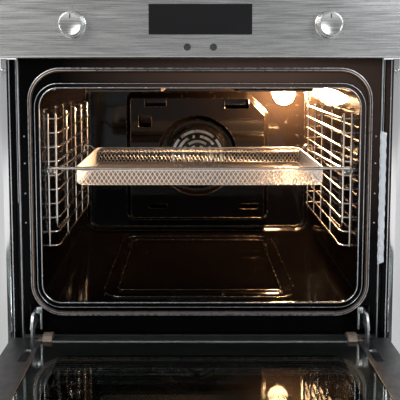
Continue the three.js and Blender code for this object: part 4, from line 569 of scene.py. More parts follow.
SLOT_FINISHES = {
    "zinc_sheet": ZINC, "black_enamel": ENAMEL, "seal_braid": RUBBER, "brushed_stainless": BRUSHED,
    "bright_steel": STEEL, "chrome_wire": CHROME, "mineral_wool": WOOL, "lamp_ceramic": CERAMIC,
    "lamp_bulb": BULB, "clear_glass": CLEAR_GLASS, "black_glass": BLACK_GLASS, "black_plastic": PLASTIC,
    "circuit_board": BOARD, "aluminium_profile": ALUMINIUM, "bronze_clip": BRONZE,
}
NODE_FINISHES = {
    "door_column_left": ANODISED, "door_column_right": ANODISED, "door_bottom_rail": ANODISED,
    "hinge_receiver_left": DARK_STEEL, "hinge_receiver_right": DARK_STEEL,
    "hinge_arm_left": PLATED, "hinge_arm_right": PLATED, "fan_impeller": PLATED,
    "ring_element": HEATER, "grill_element": HEATER, "floor_element": HEATER,
}


def dress_solids():
    """Every solid gets the finish of its own or of its slot."""
    for part in frame["record"]["subparts"]:
        materials = frame["nodes"][part["node"]].data.materials
        materials.clear()
        materials.append(NODE_FINISHES.get(part["node"], SLOT_FINISHES[part["material_slot"]]))


# ---- Cavity ----

FILLET_STEPS = 6


def cavity_outline(grow=0.0, top=CAVITY_CEILING):
    half = CAVITY_HALF + grow
    return rounded(-half, half, CAVITY_FLOOR - grow, top + grow, CAVITY_RADIUS + grow)


def cavity_liner():
    """The pressed muffle: straight walls, a fillet at the rear and a flat back, one closed sheet."""
    front = CAVITY[0].y
    rings = [at_y(cavity_outline(SHEET), CAVITY_REAR + SHEET), at_y(cavity_outline(SHEET), front),
             at_y(cavity_outline(), front)]
    for k in range(FILLET_STEPS + 1):
        angle = math.pi / 2 * k / FILLET_STEPS
        inset = REAR_FILLET * (1 - math.cos(angle))
        rings.append(at_y(cavity_outline(-inset), CAVITY_REAR - REAR_FILLET * (1 - math.sin(angle))))
    dress(Shape().loft(rings).make("cavity_liner"), ENAMEL, "oven", "black_enamel",
          "cavity_shell", "cavity_back")


FIELD_HALF, FIELD_RADIUS = mm(156, 34)
FIELD_FRONT = FACE_Y + 14 * MM
FIELD_REAR = FACE_Y + 360 * MM
FIELD_STRETCH = 1.3
# (Distance in from the field's edge, height): two nested beads round a raised floor.
FIELD_PROFILE = mm((0, -0.8), (0.5, 0.3), (1.4, 1.4), (2.4, 1.9), (3.4, 1.7), (5.2, 0.8), (6.5, 0.6),
                   (21.5, 0.6), (22.6, 1.5), (23.6, 2.2), (24.6, 2.3), (25.6, 2.0), (27.4, 1.1),
                   (28.6, 0.9))
FIELD_CRESTS = (FIELD_PROFILE[3], FIELD_PROFILE[10])


def field_ring(inset, height):
    """The field's outline at a distance in from its edge and a height above the floor."""
    half = FIELD_HALF - inset
    along = FIELD_STRETCH * inset
    return at_z(rounded(-half, half, FIELD_FRONT + along, FIELD_REAR - along, FIELD_RADIUS - inset),
                CAVITY_FLOOR + height)


def floor_field():
    """The raised rectangle pressed into the cavity's floor, with its two nested beads."""
    rings = [field_ring(inset, height) for inset, height in FIELD_PROFILE]
    dress(Shape().loft(rings).make("floor_field"), ENAMEL, "oven", "black_enamel")


# ---- Front plate, seal and trims ----

PLATE_HALF = 269.4 * MM
PLATE_SHEET, BEAD_SHEET, PLATE_FOLD = mm(1.5, 1.2, 1)
FOLD_START = 0.8 * MM
PLATE_RETURN = 16.8 * MM  # how far the plate's edges fold back
PLATE_HOLE = 11 * MM  # how far the hole of the flat plate is wider than the opening
# (Distance out from the opening's edge, height towards the front).
BEAD = mm((0, -4.0), (-0.1, -1.0), (0.3, -0.2), (1.0, 0.3), (4.6, 0.4), (5.4, 1.3), (6.3, 1.9), (7.1, 1.2),
          (7.9, 0.5), (8.8, 0.9), (9.4, 1.7), (10.1, 1.6), (10.9, 0.2), (11.6, -0.3))
CLIP_NOTCH = (CLIP_BOX[0].x - 0.9 * MM, CLIP_BOX[1].x + 0.9 * MM)
NOTCH_HEIGHT, NOTCH_DEPTH = mm(6, 5)
SLOT_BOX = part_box("hinge_receiver_right")
HINGE_SLOT_HALF, HINGE_SLOT_CORNER = mm(9, 1.5)
# (Name, distance out from the opening, height, radius) of the bright steel wires of the edge and the bead,
# which also stand in as painted highlights of the enamel's edges.
HIGHLIGHT_RIMS = [("opening_rim", *mm(0.9, -0.1, 0.95)), ("bead_rim", *mm(7.4, 1.35, 0.6))]


def opening_outline(grow):
    return cavity_outline(grow, OPENING_TOP)


def plate_outline(low, high):
    """The plate's edge, with the two notches that the door's glass clips swing through."""
    points = [(PLATE_HALF, high.z), (-PLATE_HALF, high.z), (-PLATE_HALF, low.z)]
    for x0, x1 in ((-CLIP_NOTCH[1], -CLIP_NOTCH[0]), CLIP_NOTCH):
        points += [(x0, low.z), (x0, low.z + NOTCH_HEIGHT), (x1, low.z + NOTCH_HEIGHT), (x1, low.z)]
    return points + [(PLATE_HALF, low.z)]


def front_plate():
    """The enamelled plate with its hinge slots, folded edges and the raised bead round the opening."""
    low, high = PLATE
    z0, z1 = SLOT_BOX[0].z + 2 * MM, SLOT_BOX[1].z - 2 * MM
    slots = [rounded(x - HINGE_SLOT_HALF, x + HINGE_SLOT_HALF, z0, z1, HINGE_SLOT_CORNER, 3)
             for x in (-HINGE_X, HINGE_X)]
    shape = Shape().sheet([plate_outline(low, high), opening_outline(PLATE_HOLE), *slots],
                          FACE_Y, FACE_Y + PLATE_SHEET, 0.2 * MM)
    bead = [at_y(opening_outline(out), FACE_Y - rise) for out, rise in BEAD]
    back = [at_y(opening_outline(out), FACE_Y - rise + BEAD_SHEET) for out, rise in reversed(BEAD)]
    shape.loft(bead + back, closed=True)
    lip = PLATE_HALF - PLATE_FOLD
    start = FACE_Y + FOLD_START
    rear = FACE_Y + PLATE_RETURN
    side = [(lip, start), (lip, rear + PLATE_FOLD / 2), (high.x, rear + PLATE_FOLD / 2),
            (high.x, rear - PLATE_FOLD / 2), (PLATE_HALF, rear - PLATE_FOLD / 2), (PLATE_HALF, start)]
    shape.add_pair(Shape().loft([at_z(side, low.z + 2 * MM), at_z(side, high.z - 2 * MM)]))
    shape.box((-lip, start, high.z - PLATE_FOLD), (lip, rear, high.z))
    stations = [-lip, -CLIP_NOTCH[1], -CLIP_NOTCH[0], CLIP_NOTCH[0], CLIP_NOTCH[1], lip]
    for i, (x0, x1) in enumerate(zip(stations, stations[1:])):
        front = FACE_Y + (NOTCH_DEPTH if i % 2 else FOLD_START)
        shape.box((x0, front, low.z), (x1, rear, low.z + PLATE_FOLD))
    dress(shape.make("front_plate_enamel"), PLATE_ENAMEL, "oven", "black_enamel", "front_plate")


def opening_rims():
    # bright steel rims, partly a painted highlight of the enamel's edge and bead
    for name, out, rise, radius in HIGHLIGHT_RIMS:
        ring = dense(at_y(opening_outline(out), FACE_Y - rise), 30 * MM)
        dress(Shape().tube(ring, radius, 12, closed=True).make(name), EDGE, "oven", "bright_steel")


# (Distance in from the trim's outer edge, depth behind the plate's face).
TRIM_FACE = mm((8.5, 4.0), (8.4, 3.0), (7.6, 2.4), (5.9, 1.75), (4.1, 1.15), (2.3, 0.6), (1.1, 0.4),
               (0.4, 0.6), (0.05, 1.2), (0.0, 2.4), (0.0, 29.5), (1.0, 29.5), (1.0, 3.4), (4.5, 2.6),
               (7.3, 3.8))
# the trim's web, made black as painted shade where the channel behind the trim is unlit
TRIM_SHADED_WEB = mm((8.7, 3.4), (9.6, 3.2), (18.2, 3.2), (19.0, 2.6), (19.2, 3.4), (19.2, 28.0), (18.4, 28.0),
              (18.4, 4.3), (8.7, 4.3))
TRIM_RIB_IN, TRIM_RIB_DEPTH, TRIM_RIB_RADIUS = mm(11.8, 2.4, 0.95)


def trim_strip(profile, end):
    """A strip along the trim, which ends a distance short of the trim's ends."""
    outline = [(TRIM[1].x - inset, FACE_Y + depth) for inset, depth in profile]
    return Shape().loft([at_z(outline, TRIM[0].z + end), at_z(outline, TRIM[1].z - end)])


def side_trims():
    """Each trim: a polished face that leans inwards, a web in black enamel that is painted shade of the
    unlit channel, and a bright rib.
    """
    face = trim_strip(TRIM_FACE, 0.0)
    web = trim_strip(TRIM_SHADED_WEB, 1 * MM)
    x, y = TRIM[1].x - TRIM_RIB_IN, FACE_Y + TRIM_RIB_DEPTH
    rib = Shape().tube([(x, y, TRIM[0].z + 2 * MM), (x, y, TRIM[1].z - 2 * MM)], TRIM_RIB_RADIUS, 16)
    for side in ("right", "left"):
        dress(face.make(f"trim_face_{side}", 50), POLISHED, "oven", "brushed_stainless",
              f"side_trim_{side}")
        # painted shade: the web is dressed in black enamel
        dress(web.make(f"trim_shaded_web_{side}"), PLATE_ENAMEL, "oven", "black_enamel")
        dress(rib.make(f"trim_ribs_{side}"), EDGE, "oven", "brushed_stainless")
        face, web, rib = face.mirrored(), web.mirrored(), rib.mirrored()


CHANNEL_WIRE_X, CHANNEL_LOOP, CHANNEL_DEPTH, CHANNEL_WIRE = mm(271.6, 3.8, 2.0, 0.50)
WIRE_TAIL = 280 * MM  # how high the hairpin's shorter leg ends


def channel_wires():
    """The hairpin of bright wire that lies in the channel between the plate and each trim."""
    y = FACE_Y + CHANNEL_DEPTH
    top = PLATE[1].z - 1.5 * MM
    far = CHANNEL_WIRE_X + CHANNEL_LOOP
    path = bend([(PLATE_HALF - 0.6 * MM, y, CAVITY_FLOOR), (CHANNEL_WIRE_X, y, CAVITY_FLOOR),
                 (CHANNEL_WIRE_X, y, top), (far, y, top), (far, y, WIRE_TAIL)], CHANNEL_LOOP / 2, 6)
    dress_pair(Shape().tube(path, CHANNEL_WIRE, 12), "channel_wire", EDGE, "oven", "bright_steel")


# (Distance in from the outer edge in millimetres, share of the depth towards the door).
SEAL_SECTION = [
    (0.3, 0.0), (0.0, 0.25), (0.35, 0.5), (0.9, 0.58), (1.5, 0.5), (1.9, 0.66), (2.5, 0.78), (3.1, 0.68),
    (3.5, 0.74), (4.1, 0.86), (4.7, 0.85), (5.1, 0.7), (5.4, 0.55), (5.8, 0.58), (6.2, 0.42), (6.4, 0.2),
    (6.0, 0.0),
]
# painted highlights on the seal: a cool bright line near its outer edge and a warm one lit by the lamp
SEAL_HIGHLIGHTS = [("door_seal_highlight", 0.9, 0.56, SEAL_HIGHLIGHT), ("door_seal_inner_highlight", 4.3, 0.85, WARM_SEAL_HIGHLIGHT)]
SEAL_HIGHLIGHT_RADIUS = 0.58 * MM
SEAL_RADIUS = 50 * MM


def seal_ring(inset, share):
    inset *= MM
    outline = rounded(*edges(SEAL, -inset), SEAL_RADIUS - inset, 12)
    return at_y(outline, SEAL[1].y - share * (SEAL[1].y - SEAL[0].y))


def door_seal():
    """The soft profile that the closed door presses on, with a groove, and two thin bright wires on it that
    are painted highlights, one warm with the lamp's light.
    """
    rings = [seal_ring(inset, share) for inset, share in SEAL_SECTION]
    dress(Shape().loft(rings, closed=True).make("door_seal_profile"), RUBBER, "oven", "seal_braid",
          "door_seal")
    for name, inset, share, finish in SEAL_HIGHLIGHTS:
        lip = Shape().tube(dense(seal_ring(inset, share), 30 * MM), SEAL_HIGHLIGHT_RADIUS, 10, closed=True)
        dress(lip.make(name), finish, "oven", "seal_braid")


# Shares of a screw's radius and of its rise, from the hidden base to the top of the dome.
SCREW_DOME = [(0, 1), (0.9, 1), (1, 0.5), (0.97, 0), (0.84, -0.45), (0.55, -0.85), (0, -1)]


def screw(name, place, radius, rise, *nodes):
    """A domed screw head that faces the front, with a cross cut into it."""
    x, y, z = place
    head = Shape().revolve([(radius * r, y + rise * h) for r, h in SCREW_DOME], x, z, 28).make(name)
    cross = Shape()
    arm, half = radius * 0.62, radius * 0.13
    for wide, tall in ((arm, half), (half, arm)):
        cross.box((x - wide, y - 1.4 * rise, z - tall), (x + wide, y - 0.35 * rise, z + tall))
    cutter = cross.make(name + "_cut")
    cut = head.modifiers.new("cross", "BOOLEAN")
    cut.object = cutter
    cut.operation = "DIFFERENCE"
    cut.solver = "EXACT"
    cut.use_self = True
    bpy.context.view_layer.update()
    mesh = evaluated_mesh(head)
    head.modifiers.clear()
    head.data = mesh
    smooth(mesh)
    bpy.data.objects.remove(cutter)
    dress(head, STEEL, "oven", "bright_steel", *nodes)


def mounting_screws():
    for side in ("left", "right"):
        node = f"mounting_screw_{side}"
        low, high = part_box(node)
        centre = middle(node)
        screw(f"trim_screw_{side}", (centre.x, FACE_Y - 1.2 * MM, centre.z), (high.x - low.x) / 2,
              1.4 * MM, node)


PLATE_SCREW_X = 264 * MM
PLATE_SCREW_HEIGHTS = mm(250, 295, 341, 382)


def plate_screws():
    for side, x in (("left", -PLATE_SCREW_X), ("right", PLATE_SCREW_X)):
        for i, z in enumerate(PLATE_SCREW_HEIGHTS):
            screw(f"plate_screw_{side}_{i}", (x, FACE_Y - 0.2 * MM, z), 1.5 * MM, 0.7 * MM)


FOIL_BOTTOM, FOIL_TOP = mm(187, 389)
FOIL_X = PLATE_HALF + 1.3 * MM
FOIL_WIDTH = 9.4 * MM
FOIL_THICK = Vector((0, 0.2 * MM, 0))
FOIL_STEPS = 90
FOIL_ACROSS = 6


def foil_point(share, across):
    """A point of the foil: creased, with frayed edges and slanted ends."""
    fray = 0.35 * MM * math.sin(share * 71) if across in (0, 1) else 0
    crease = 0.28 * math.sin(share * 97 + across * 5) + 0.22 * math.sin(share * 211 - across * 9)
    slant = 4 * MM * (across - 0.5) * (1 - 2 * share)
    return Vector((FOIL_X + FOIL_WIDTH * across + fray, FACE_Y + (0.2 + crease) * MM,
                   FOIL_BOTTOM + (FOIL_TOP - FOIL_BOTTOM) * share + slant))


def foil_strip():
    """A bare strip of silver foil stuck over the right-hand channel."""
    rings = []
    for k in range(FOIL_STEPS + 1):
        front = [foil_point(k / FOIL_STEPS, i / FOIL_ACROSS) for i in range(FOIL_ACROSS + 1)]
        rings.append(front + [p + FOIL_THICK for p in reversed(front)])
    dress(Shape().loft(rings).make("channel_foil", 60), FOIL, "oven", "bright_steel")


# ---- Fan cover and lamp ----

COVER_SHOULDER, COVER_CHAMFER, COVER_CORNER = mm(12, 38, 8)
COVER_FACE = COVER[0].y
COVER_DEPTH = COVER[1].y - COVER_FACE
# (Distance out, distance back) from the face's edge, then the same short of the shoulder's foot.
COVER_BEND = mm((-1.5, 0), (-0.4, 0.15), (0.8, 0.9), (2.0, 2.4))
COVER_FOOT = mm((2.2, 6), (1.2, 1.6), (0.2, 0.2), (0, 0))
# (Radius, depth) of the round dish, from its edge in the face to the grille.
DISH = mm((86.0, 0.0), (84.6, 0.35), (82.0, 1.7), (78.5, 4.0), (76.5, 4.8), (75.0, 5.0), (65.0, 5.0),
          (63.4, 4.6), (61.6, 2.7), (60.0, 2.1), (58.0, 2.0))
GRILLE_FLOOR, GRILLE_HUB, SLOT_WIDTH, SLOT_BRIDGE = mm(2.0, 4, 5.6, 9)
SLOT_RADII = mm(19.5, 30.3, 41.1, 51.9)
# Left, right, bottom and top of each vent.
VENTS = mm((58, 108, 394, 414), (-111, -67, 399, 414), (-124, -98, 355, 380), (-103, -65, 181, 189),
           (92, 128, 180, 190))
VENT_CORNER = 2.5 * MM
VENT_LIP = mm((0.0, 0.6), (0.15, -0.3), (0.7, -0.75), (1.3, -0.3), (1.5, 0.6))  # (grown by, depth)


def cover_outline(grow):
    """The cover's outline with its cut corner at the lamp, grown outwards by a distance."""
    x0, x1, z0, z1 = edges(COVER, grow - COVER_SHOULDER)
    cut = COVER_CHAMFER + grow * (2 - math.sqrt(2))
    corners = [(x1, z1 - cut, 0, 0.5), (x1 - cut, z1, 0.5, 0.5), (x0, z1, 1, 1), (x0, z0, 2, 1),
               (x1, z0, 3, 1)]
    return [point for corner in corners for point in corner_arc(*corner, COVER_CORNER + grow, 6)]


def vent_outline(vent, grow=0.0):
    x0, x1, z0, z1 = vent
    return rounded(x0 - grow, x1 + grow, z0 - grow, z1 + grow, VENT_CORNER + grow, 4)


def fan_cover():
    """The pressed cover: flat face with vents, sloped shoulders, round dish and slotted grille."""
    hole = [(p.x, p.z) for p in fan_ring(DISH[0][0], COVER_FACE, 64)]
    shape = Shape().sheet([cover_outline(COVER_BEND[0][0]), hole, *map(vent_outline, VENTS)],
                          COVER_FACE, COVER_FACE + SHEET)
    profile = COVER_BEND + [(COVER_SHOULDER - out, COVER_DEPTH - back) for out, back in COVER_FOOT]
    outer = [at_y(cover_outline(grow), COVER_FACE + down) for grow, down in profile]
    inner = [at_y(cover_outline(grow - SHEET), COVER_FACE + min(down + SHEET, COVER_DEPTH))
             for grow, down in reversed(profile)]
    shape.loft(outer + inner, closed=True)
    front = [fan_ring(radius, COVER_FACE + down) for radius, down in DISH]
    rear = [fan_ring(radius, COVER_FACE + down + SHEET) for radius, down in reversed(DISH)]
    shape.loft(front + rear, closed=True)
    for vent in VENTS:
        lip = [at_y(vent_outline(vent, grow), COVER_FACE + down) for grow, down in VENT_LIP]
        shape.loft(lip, closed=True)
    grille(shape)
    dress(shape.make("fan_cover_pressing"), ENAMEL, "oven", "black_enamel", "fan_cover")


def fan_ring(radius, y, sides=96):
    return circle((FAN_CENTRE.x, y, FAN_CENTRE.z), radius, sides)


def grille(shape, sides=96):
    """The flat disc inside the dish; its cells are left open where a slot is."""
    slots = [radius + side * SLOT_WIDTH / 2 for radius in SLOT_RADII for side in (-1, 1)]
    radii = [GRILLE_HUB, *slots, DISH[-1][0]]
    depths = (COVER_FACE + GRILLE_FLOOR, COVER_FACE + GRILLE_FLOOR + SHEET)
    verts = [p for radius in radii for y in depths for p in fan_ring(radius, y, sides)]

    def at(place, rear):
        band, i = place
        return (band * 2 + rear) * sides + i % sides

    def wall(start, end):
        return (at(start, 0), at(end, 0), at(end, 1), at(start, 1))

    def is_open(band, i):
        return band % 2 == 1 and in_slot(band // 2, (i + 0.5) * 2 * math.pi / sides)

    faces = []
    for band in range(len(radii) - 1):
        for i in range(sides):
            cell = [(band, i), (band, i + 1), (band + 1, i + 1), (band + 1, i)]
            inner, inner_next, outer_next, outer = cell
            if not is_open(band, i):
                faces += [tuple(at(p, 0) for p in cell), tuple(at(p, 1) for p in reversed(cell))]
                continue
            if not is_open(band, i + 1):
                faces.append(wall(inner_next, outer_next))
            if not is_open(band, i - 1):
                faces.append(wall(outer, inner))
            faces += [wall(inner, inner_next), wall(outer_next, outer)]
    faces.append(tuple(reversed(range(sides))))
    faces.append(tuple(range(sides, 2 * sides)))
    shape.add(verts, faces)


def in_slot(ring, angle):
    """Whether an angle falls in one of a ring's four slots and not on a bridge between them."""
    quarter = math.pi / 2
    bridge = SLOT_BRIDGE / SLOT_RADII[ring]
    return (angle - ring * quarter / 2 + bridge / 2) % quarter > bridge


def edge_highlight_wires():
    """Painted highlights: fine bright wires along the edges of the cover, dish, vents, floor beads and rear
    corners, where glossy enamel catches the light.
    """
    lines = [(at_y(cover_outline(grow), COVER_FACE + down), 20, 0.34)
             for grow, down in mm((-0.4, 0.0), (10.6, 24.0))]
    lines += [(fan_ring(radius, COVER_FACE + down), 20, 0.30)
              for radius, down in mm((85.2, 0.2), (77.0, 4.2), (64.2, 4.6), (59.4, 1.8))]
    lines += [(at_y(vent_outline(vent, 0.7 * MM), COVER_FACE - 0.6 * MM), 10, 0.26) for vent in VENTS]
    lines += [(at_y(cavity_outline(-0.2 * MM), CAVITY_REAR - REAR_FILLET), 30, 0.40),
              (at_y(cavity_outline(-REAR_FILLET), CAVITY_REAR - 0.2 * MM), 30, 0.40)]
    lines += [(field_ring(inset, height + 0.1 * MM), 20, 0.34) for inset, height in FIELD_CRESTS]
    shape = Shape()
    for ring, step, radius in lines:
        shape.tube(dense(ring, step * MM), radius * MM, 8, closed=True)
    dress(shape.make("edge_highlight_wires"), EDGE_HIGHLIGHT, "oven", "black_enamel")


COVER_SCREW_X, COVER_SCREW_AHEAD, COVER_SCREW_Z = mm(147, 12, 159)


def cover_screws():
    for side, x in (("left", -COVER_SCREW_X), ("right", COVER_SCREW_X)):
        screw(f"cover_screw_{side}", (x, COVER[1].y - COVER_SCREW_AHEAD, COVER_SCREW_Z), 3.6 * MM, 1.5 * MM)


LENS_RIM = 3 * MM
LENS_RIBS = 14


def lamp_lens():
    """The domed cover glass of the lamp, with shallow rings round it."""
    centre = middle("lamp_glass")
    radius = (LENS[1].x - LENS[0].x) / 2
    rim = LENS[1].y
    rise = rim - LENS[0].y - LENS_RIM
    profile = [(radius, rim), (radius, rim - 2 * MM), (radius - 1.5 * MM, rim - LENS_RIM)]
    for k in range(LENS_RIBS + 1):
        angle = math.pi / 2 * k / LENS_RIBS
        ripple = 1 - 0.012 * (k % 2)
        profile.append(((radius - LENS_RIM) * math.cos(angle) * ripple,
                        rim - LENS_RIM - rise * math.sin(angle)))
    lens = Shape().revolve(profile + [(0, rim)], centre.x, centre.z, 56).make("lamp_lens")
    dress(lens, LENS_GLOW, "oven", "clear_glass", "lamp_glass")


def lamp_capsule():
    """The halogen capsule: a stem and a round end."""
    low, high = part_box("lamp_bulb")
    centre = middle("lamp_bulb")
    radius = (high.x - low.x) / 2
    profile = [(0, high.y), (radius * 0.45, high.y), (radius * 0.5, high.y - 9 * MM)]
    for k in range(9):
        angle = math.pi * k / 8
        profile.append((radius * (math.sin(angle) if k else 0.5),
                        low.y + radius + (radius - 0.5 * MM) * math.cos(angle)))
    capsule = Shape().revolve(profile, centre.x, centre.z, 28).make("lamp_capsule")
    dress(capsule, BULB, "oven", "lamp_bulb", "lamp_bulb")


# ---- Side racks ----

RACK_WIRE, RACK_POST = mm(1.35, 1.75)
RACK_LEVELS = 10
RACK_PITCH, RACK_POST_OVER = mm(22.1, 9)
RACK_TOP = RACK[1].z - RACK_POST_OVER
RACK_BOTTOM = RACK_TOP - (RACK_LEVELS - 1) * RACK_PITCH
RACK_X = RACK[0].x + 1.3 * MM
RACK_BACK = FACE_Y + 326 * MM
POST_X = RACK_X + 2.5 * MM
POSTS_Y = [FACE_Y + depth for depth in mm(25, 108, 186, 249, 318)]
WALL_POST_X, WALL_GAP = mm(234, 0.7)
STUD_LOOP, LOOP_WIRE = mm(6.8, 1.5)
WIRE_BEND, FOOT_BEND, POST_BEND = mm(11, 16, 4)
WELD_LENGTH, WELD_RADIUS = mm(6.5, 2.5)
# Shares of a weld's radius and length, from its top to its foot.
WELD_DROP = [(0.05, 0.5), (0.75, 0.38), (1.0, 0.1), (0.95, -0.25), (0.6, -0.45), (0.05, -0.5)]


def rack_shape():
    """The right-hand ladder of level wires, posts, wall post, weld beads and the stud's loop."""
    shape = Shape()
    wall = CAVITY_HALF - WALL_GAP
    front, second = POSTS_Y[:2]
    for level in range(RACK_LEVELS):
        z = RACK_TOP - level * RACK_PITCH
        level_wire = [(wall, front, z), (RACK_X, front, z), (RACK_X, RACK_BACK, z), (wall, RACK_BACK, z)]
        shape.tube(bend(level_wire, WIRE_BEND, 7), RACK_WIRE, 12)
        shape.loft([circle((POST_X - 1.2 * MM, second, z - 2 * MM + WELD_LENGTH * up), WELD_RADIUS * wide,
                           12, "xy") for wide, up in WELD_DROP])
    top = RACK_TOP + RACK_POST_OVER - RACK_POST
    bottom = RACK_BOTTOM - RACK_WIRE
    foot = RACK_BOTTOM + 1.2 * RACK_PITCH
    front_post = [(POST_X, front, top), (POST_X, front, foot), (POST_X, second, foot - 2 * MM)]
    shape.tube(bend(front_post, FOOT_BEND, 8), RACK_POST, 12)
    for y in POSTS_Y[1:]:
        post = [(POST_X + 5 * MM, y, top), (POST_X, y, top), (POST_X, y, bottom)]
        shape.tube(bend(post, POST_BEND, 4), RACK_POST, 12)
    shape.tube([(WALL_POST_X, front, top), (WALL_POST_X, front, bottom)], RACK_POST, 12)
    loop = circle((WALL_POST_X + 0.2 * MM, front, middle("rack_stud_right").z), STUD_LOOP, 28, "yz")
    return shape.tube(loop, LOOP_WIRE, 10, closed=True)


def rack_stud(side):
    """The turned stud on the cavity's wall, whose head holds the rack."""
    node = f"rack_stud_{side}"
    low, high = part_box(node)
    centre = middle(node)
    radius = (high.z - low.z) / 2
    tip, base = sorted((low.x, high.x), key=abs)
    head = tip + (base - tip) * 0.3
    neck = math.copysign(WALL_POST_X * 1.012, base)
    stations = [(base, 0.5), (neck, 0.5), (head, 0.5), (head, 1.0), (tip + (head - tip) * 0.35, 1.0),
                (tip + (head - tip) * 0.1, 0.85), (tip, 0.6)]
    rings = [circle((x, centre.y, centre.z), radius * share, 28, "yz") for x, share in stations]
    dress(Shape().loft(rings).make(f"{node}_turned"), STEEL, "oven", "bright_steel", node)


def side_racks():
    right = rack_shape()
    for side, shape in (("right", right), ("left", right.mirrored())):
        dress(shape.make(f"rack_wires_{side}"), CHROME, "oven", "chrome_wire", f"side_rack_{side}")
        rack_stud(side)


# ---- Basket ----

ROD_RADIUS, SLEEVE_RADIUS, SIDE_RADIUS = mm(1.8, 2.6, 2.1)
FOOT_RADIUS, LOOP_RADIUS, CLIP_RADIUS = mm(1.6, 1.1, 1.3)
SLEEVE_INNER, SIDE_X, HOOK = mm(154, 217.5, 8)
FEET_Y = [FACE_Y + depth for depth in mm(44, 60)]
CELL_WIDE, CELL_TALL = mm(7.1, 5.4)
MESH_WIRE, PAN_FLOOR_WIRE = mm(0.52, 0.40)
MESH_CORNER, MESH_FOOT = mm(16, 6)
MESH_START = 2 * MM  # how far below the rim the mesh begins
WALL_STEPS = 12
RIM_WIRES = mm((1.3, 1.3), (4.2, 0.8))  # (drop below the rim, radius)
# (Out from the pan's side, back from the front rod, down from it) of the clip that holds the pan.
CLIP_PATH = mm((4, 0, 0), (4, 14, 3), (-3, 22, 2))
PAN_LOW, PAN_HIGH = BASKET
PAN_WIDE = PAN_HIGH.x - PAN_LOW.x - 2 * MESH_CORNER
PAN_DEEP = PAN_HIGH.y - PAN_LOW.y - 2 * MESH_CORNER
PAN_WALL = PAN_HIGH.z - PAN_LOW.z - MESH_FOOT


def basket_frame():
    """Front rod with its sleeves, side rods with feet, and the hooks that hold the pan's rear rim."""
    low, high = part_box("basket_frame")
    front = low.y + 3.2 * MM
    back = high.y - SIDE_RADIUS
    rod_z = PAN_HIGH.z
    side_z = low.z + SIDE_RADIUS
    tip = high.x
    rim_x = PAN_HIGH.x
    rod = [(x, front, rod_z) for x in (-tip, -tip + 1 * MM, tip - 1 * MM, tip)]
    shape = Shape().tube(rod, ROD_RADIUS, 20)
    half = Shape()
    half.tube([(SLEEVE_INNER, front, rod_z), (tip - 3 * MM, front, rod_z)], SLEEVE_RADIUS, 24)
    half.tube([(SLEEVE_INNER - 1.2 * MM, front, rod_z), (SLEEVE_INNER, front, rod_z)],
              SLEEVE_RADIUS - 0.4 * MM, 24)
    hook_top = side_z + 1.6 * HOOK
    side_rod = [(SIDE_X, front, rod_z), (SIDE_X, back, side_z), (SIDE_X, back, hook_top),
                (SIDE_X - 1.5 * HOOK, back, hook_top), (rim_x, back, side_z), (0, back, side_z)]
    half.tube(bend(side_rod, 5 * MM, 7), SIDE_RADIUS, 14)
    slope = (side_z - rod_z) / (back - front)
    foot = low.z + FOOT_RADIUS
    near, far = [(SIDE_X, y, rod_z + slope * (y - front)) for y in FEET_Y]
    feet = [near, (SIDE_X, near[1], foot), (SIDE_X, far[1], foot), far]
    half.tube(bend(feet, 5 * MM, 6), FOOT_RADIUS, 12)
    loop = circle((tip - 7 * MM, front + 2.2 * MM, rod_z - 6.4 * MM), 4 * MM, 20, "yz")
    half.tube(loop, LOOP_RADIUS, 8, closed=True)
    clip = [(rim_x + out, front + behind, rod_z - down) for out, behind, down in CLIP_PATH]
    half.tube(bend(clip, 6 * MM, 5), CLIP_RADIUS, 10)
    dress(shape.add_pair(half).make("basket_rods"), CHROME, "basket", "chrome_wire", "basket_frame")


def basket_mesh():
    """The pan of diamond wire mesh: walls that round into the floor, and a double rim wire."""
    shape = Shape()
    outline = rounded(*edges(BASKET, -MESH_WIRE, "xy"), MESH_CORNER - MESH_WIRE, 8)
    for drop, radius in RIM_WIRES:
        shape.tube(dense(at_z(outline, PAN_HIGH.z - drop), 6 * MM), radius, 8, closed=True)
    wall_mesh(shape)
    dress(shape.make("basket_wire_mesh", 70), MESH_STEEL, "basket", "chrome_wire", "basket_mesh")
    dress(floor_mesh().make("basket_floor_mesh", 70), PAN_FLOOR, "basket", "chrome_wire")


def along_wall(distance, drop):
    """A point on the pan's wall, by the distance round its rim and the drop below the rim."""
    angle = min(math.pi / 2, max(0.0, drop - PAN_WALL) / MESH_FOOT)
    x, y = rim_point(distance, MESH_WIRE + MESH_FOOT * (1 - math.cos(angle)))
    depth = min(drop, PAN_WALL) + MESH_FOOT * math.sin(angle)
    return Vector((x, y, PAN_HIGH.z - depth + MESH_WIRE))


def rim_point(distance, inset):
    """A point of the rim's rounded rectangle, at a distance measured round the outer one."""
    x0, x1, y0, y1 = edges(BASKET, -MESH_CORNER, "xy")
    arc = MESH_CORNER * math.pi / 2
    left = distance % (2 * (PAN_WIDE + PAN_DEEP + 2 * arc))
    stretches = [(x0, y0, PAN_WIDE), (x1, y0, PAN_DEEP), (x1, y1, PAN_WIDE), (x0, y1, PAN_DEEP)]
    for side, (x, y, span) in enumerate(stretches):
        if left <= span + arc or side == 3:
            break
        left -= span + arc
    outward = math.pi / 2 * (side - 1)
    along = min(left, span)
    angle = outward + max(0.0, left - span) / MESH_CORNER
    radius = MESH_CORNER - inset
    return (x - along * math.sin(outward) + radius * math.cos(angle),
            y + along * math.cos(outward) + radius * math.sin(angle))


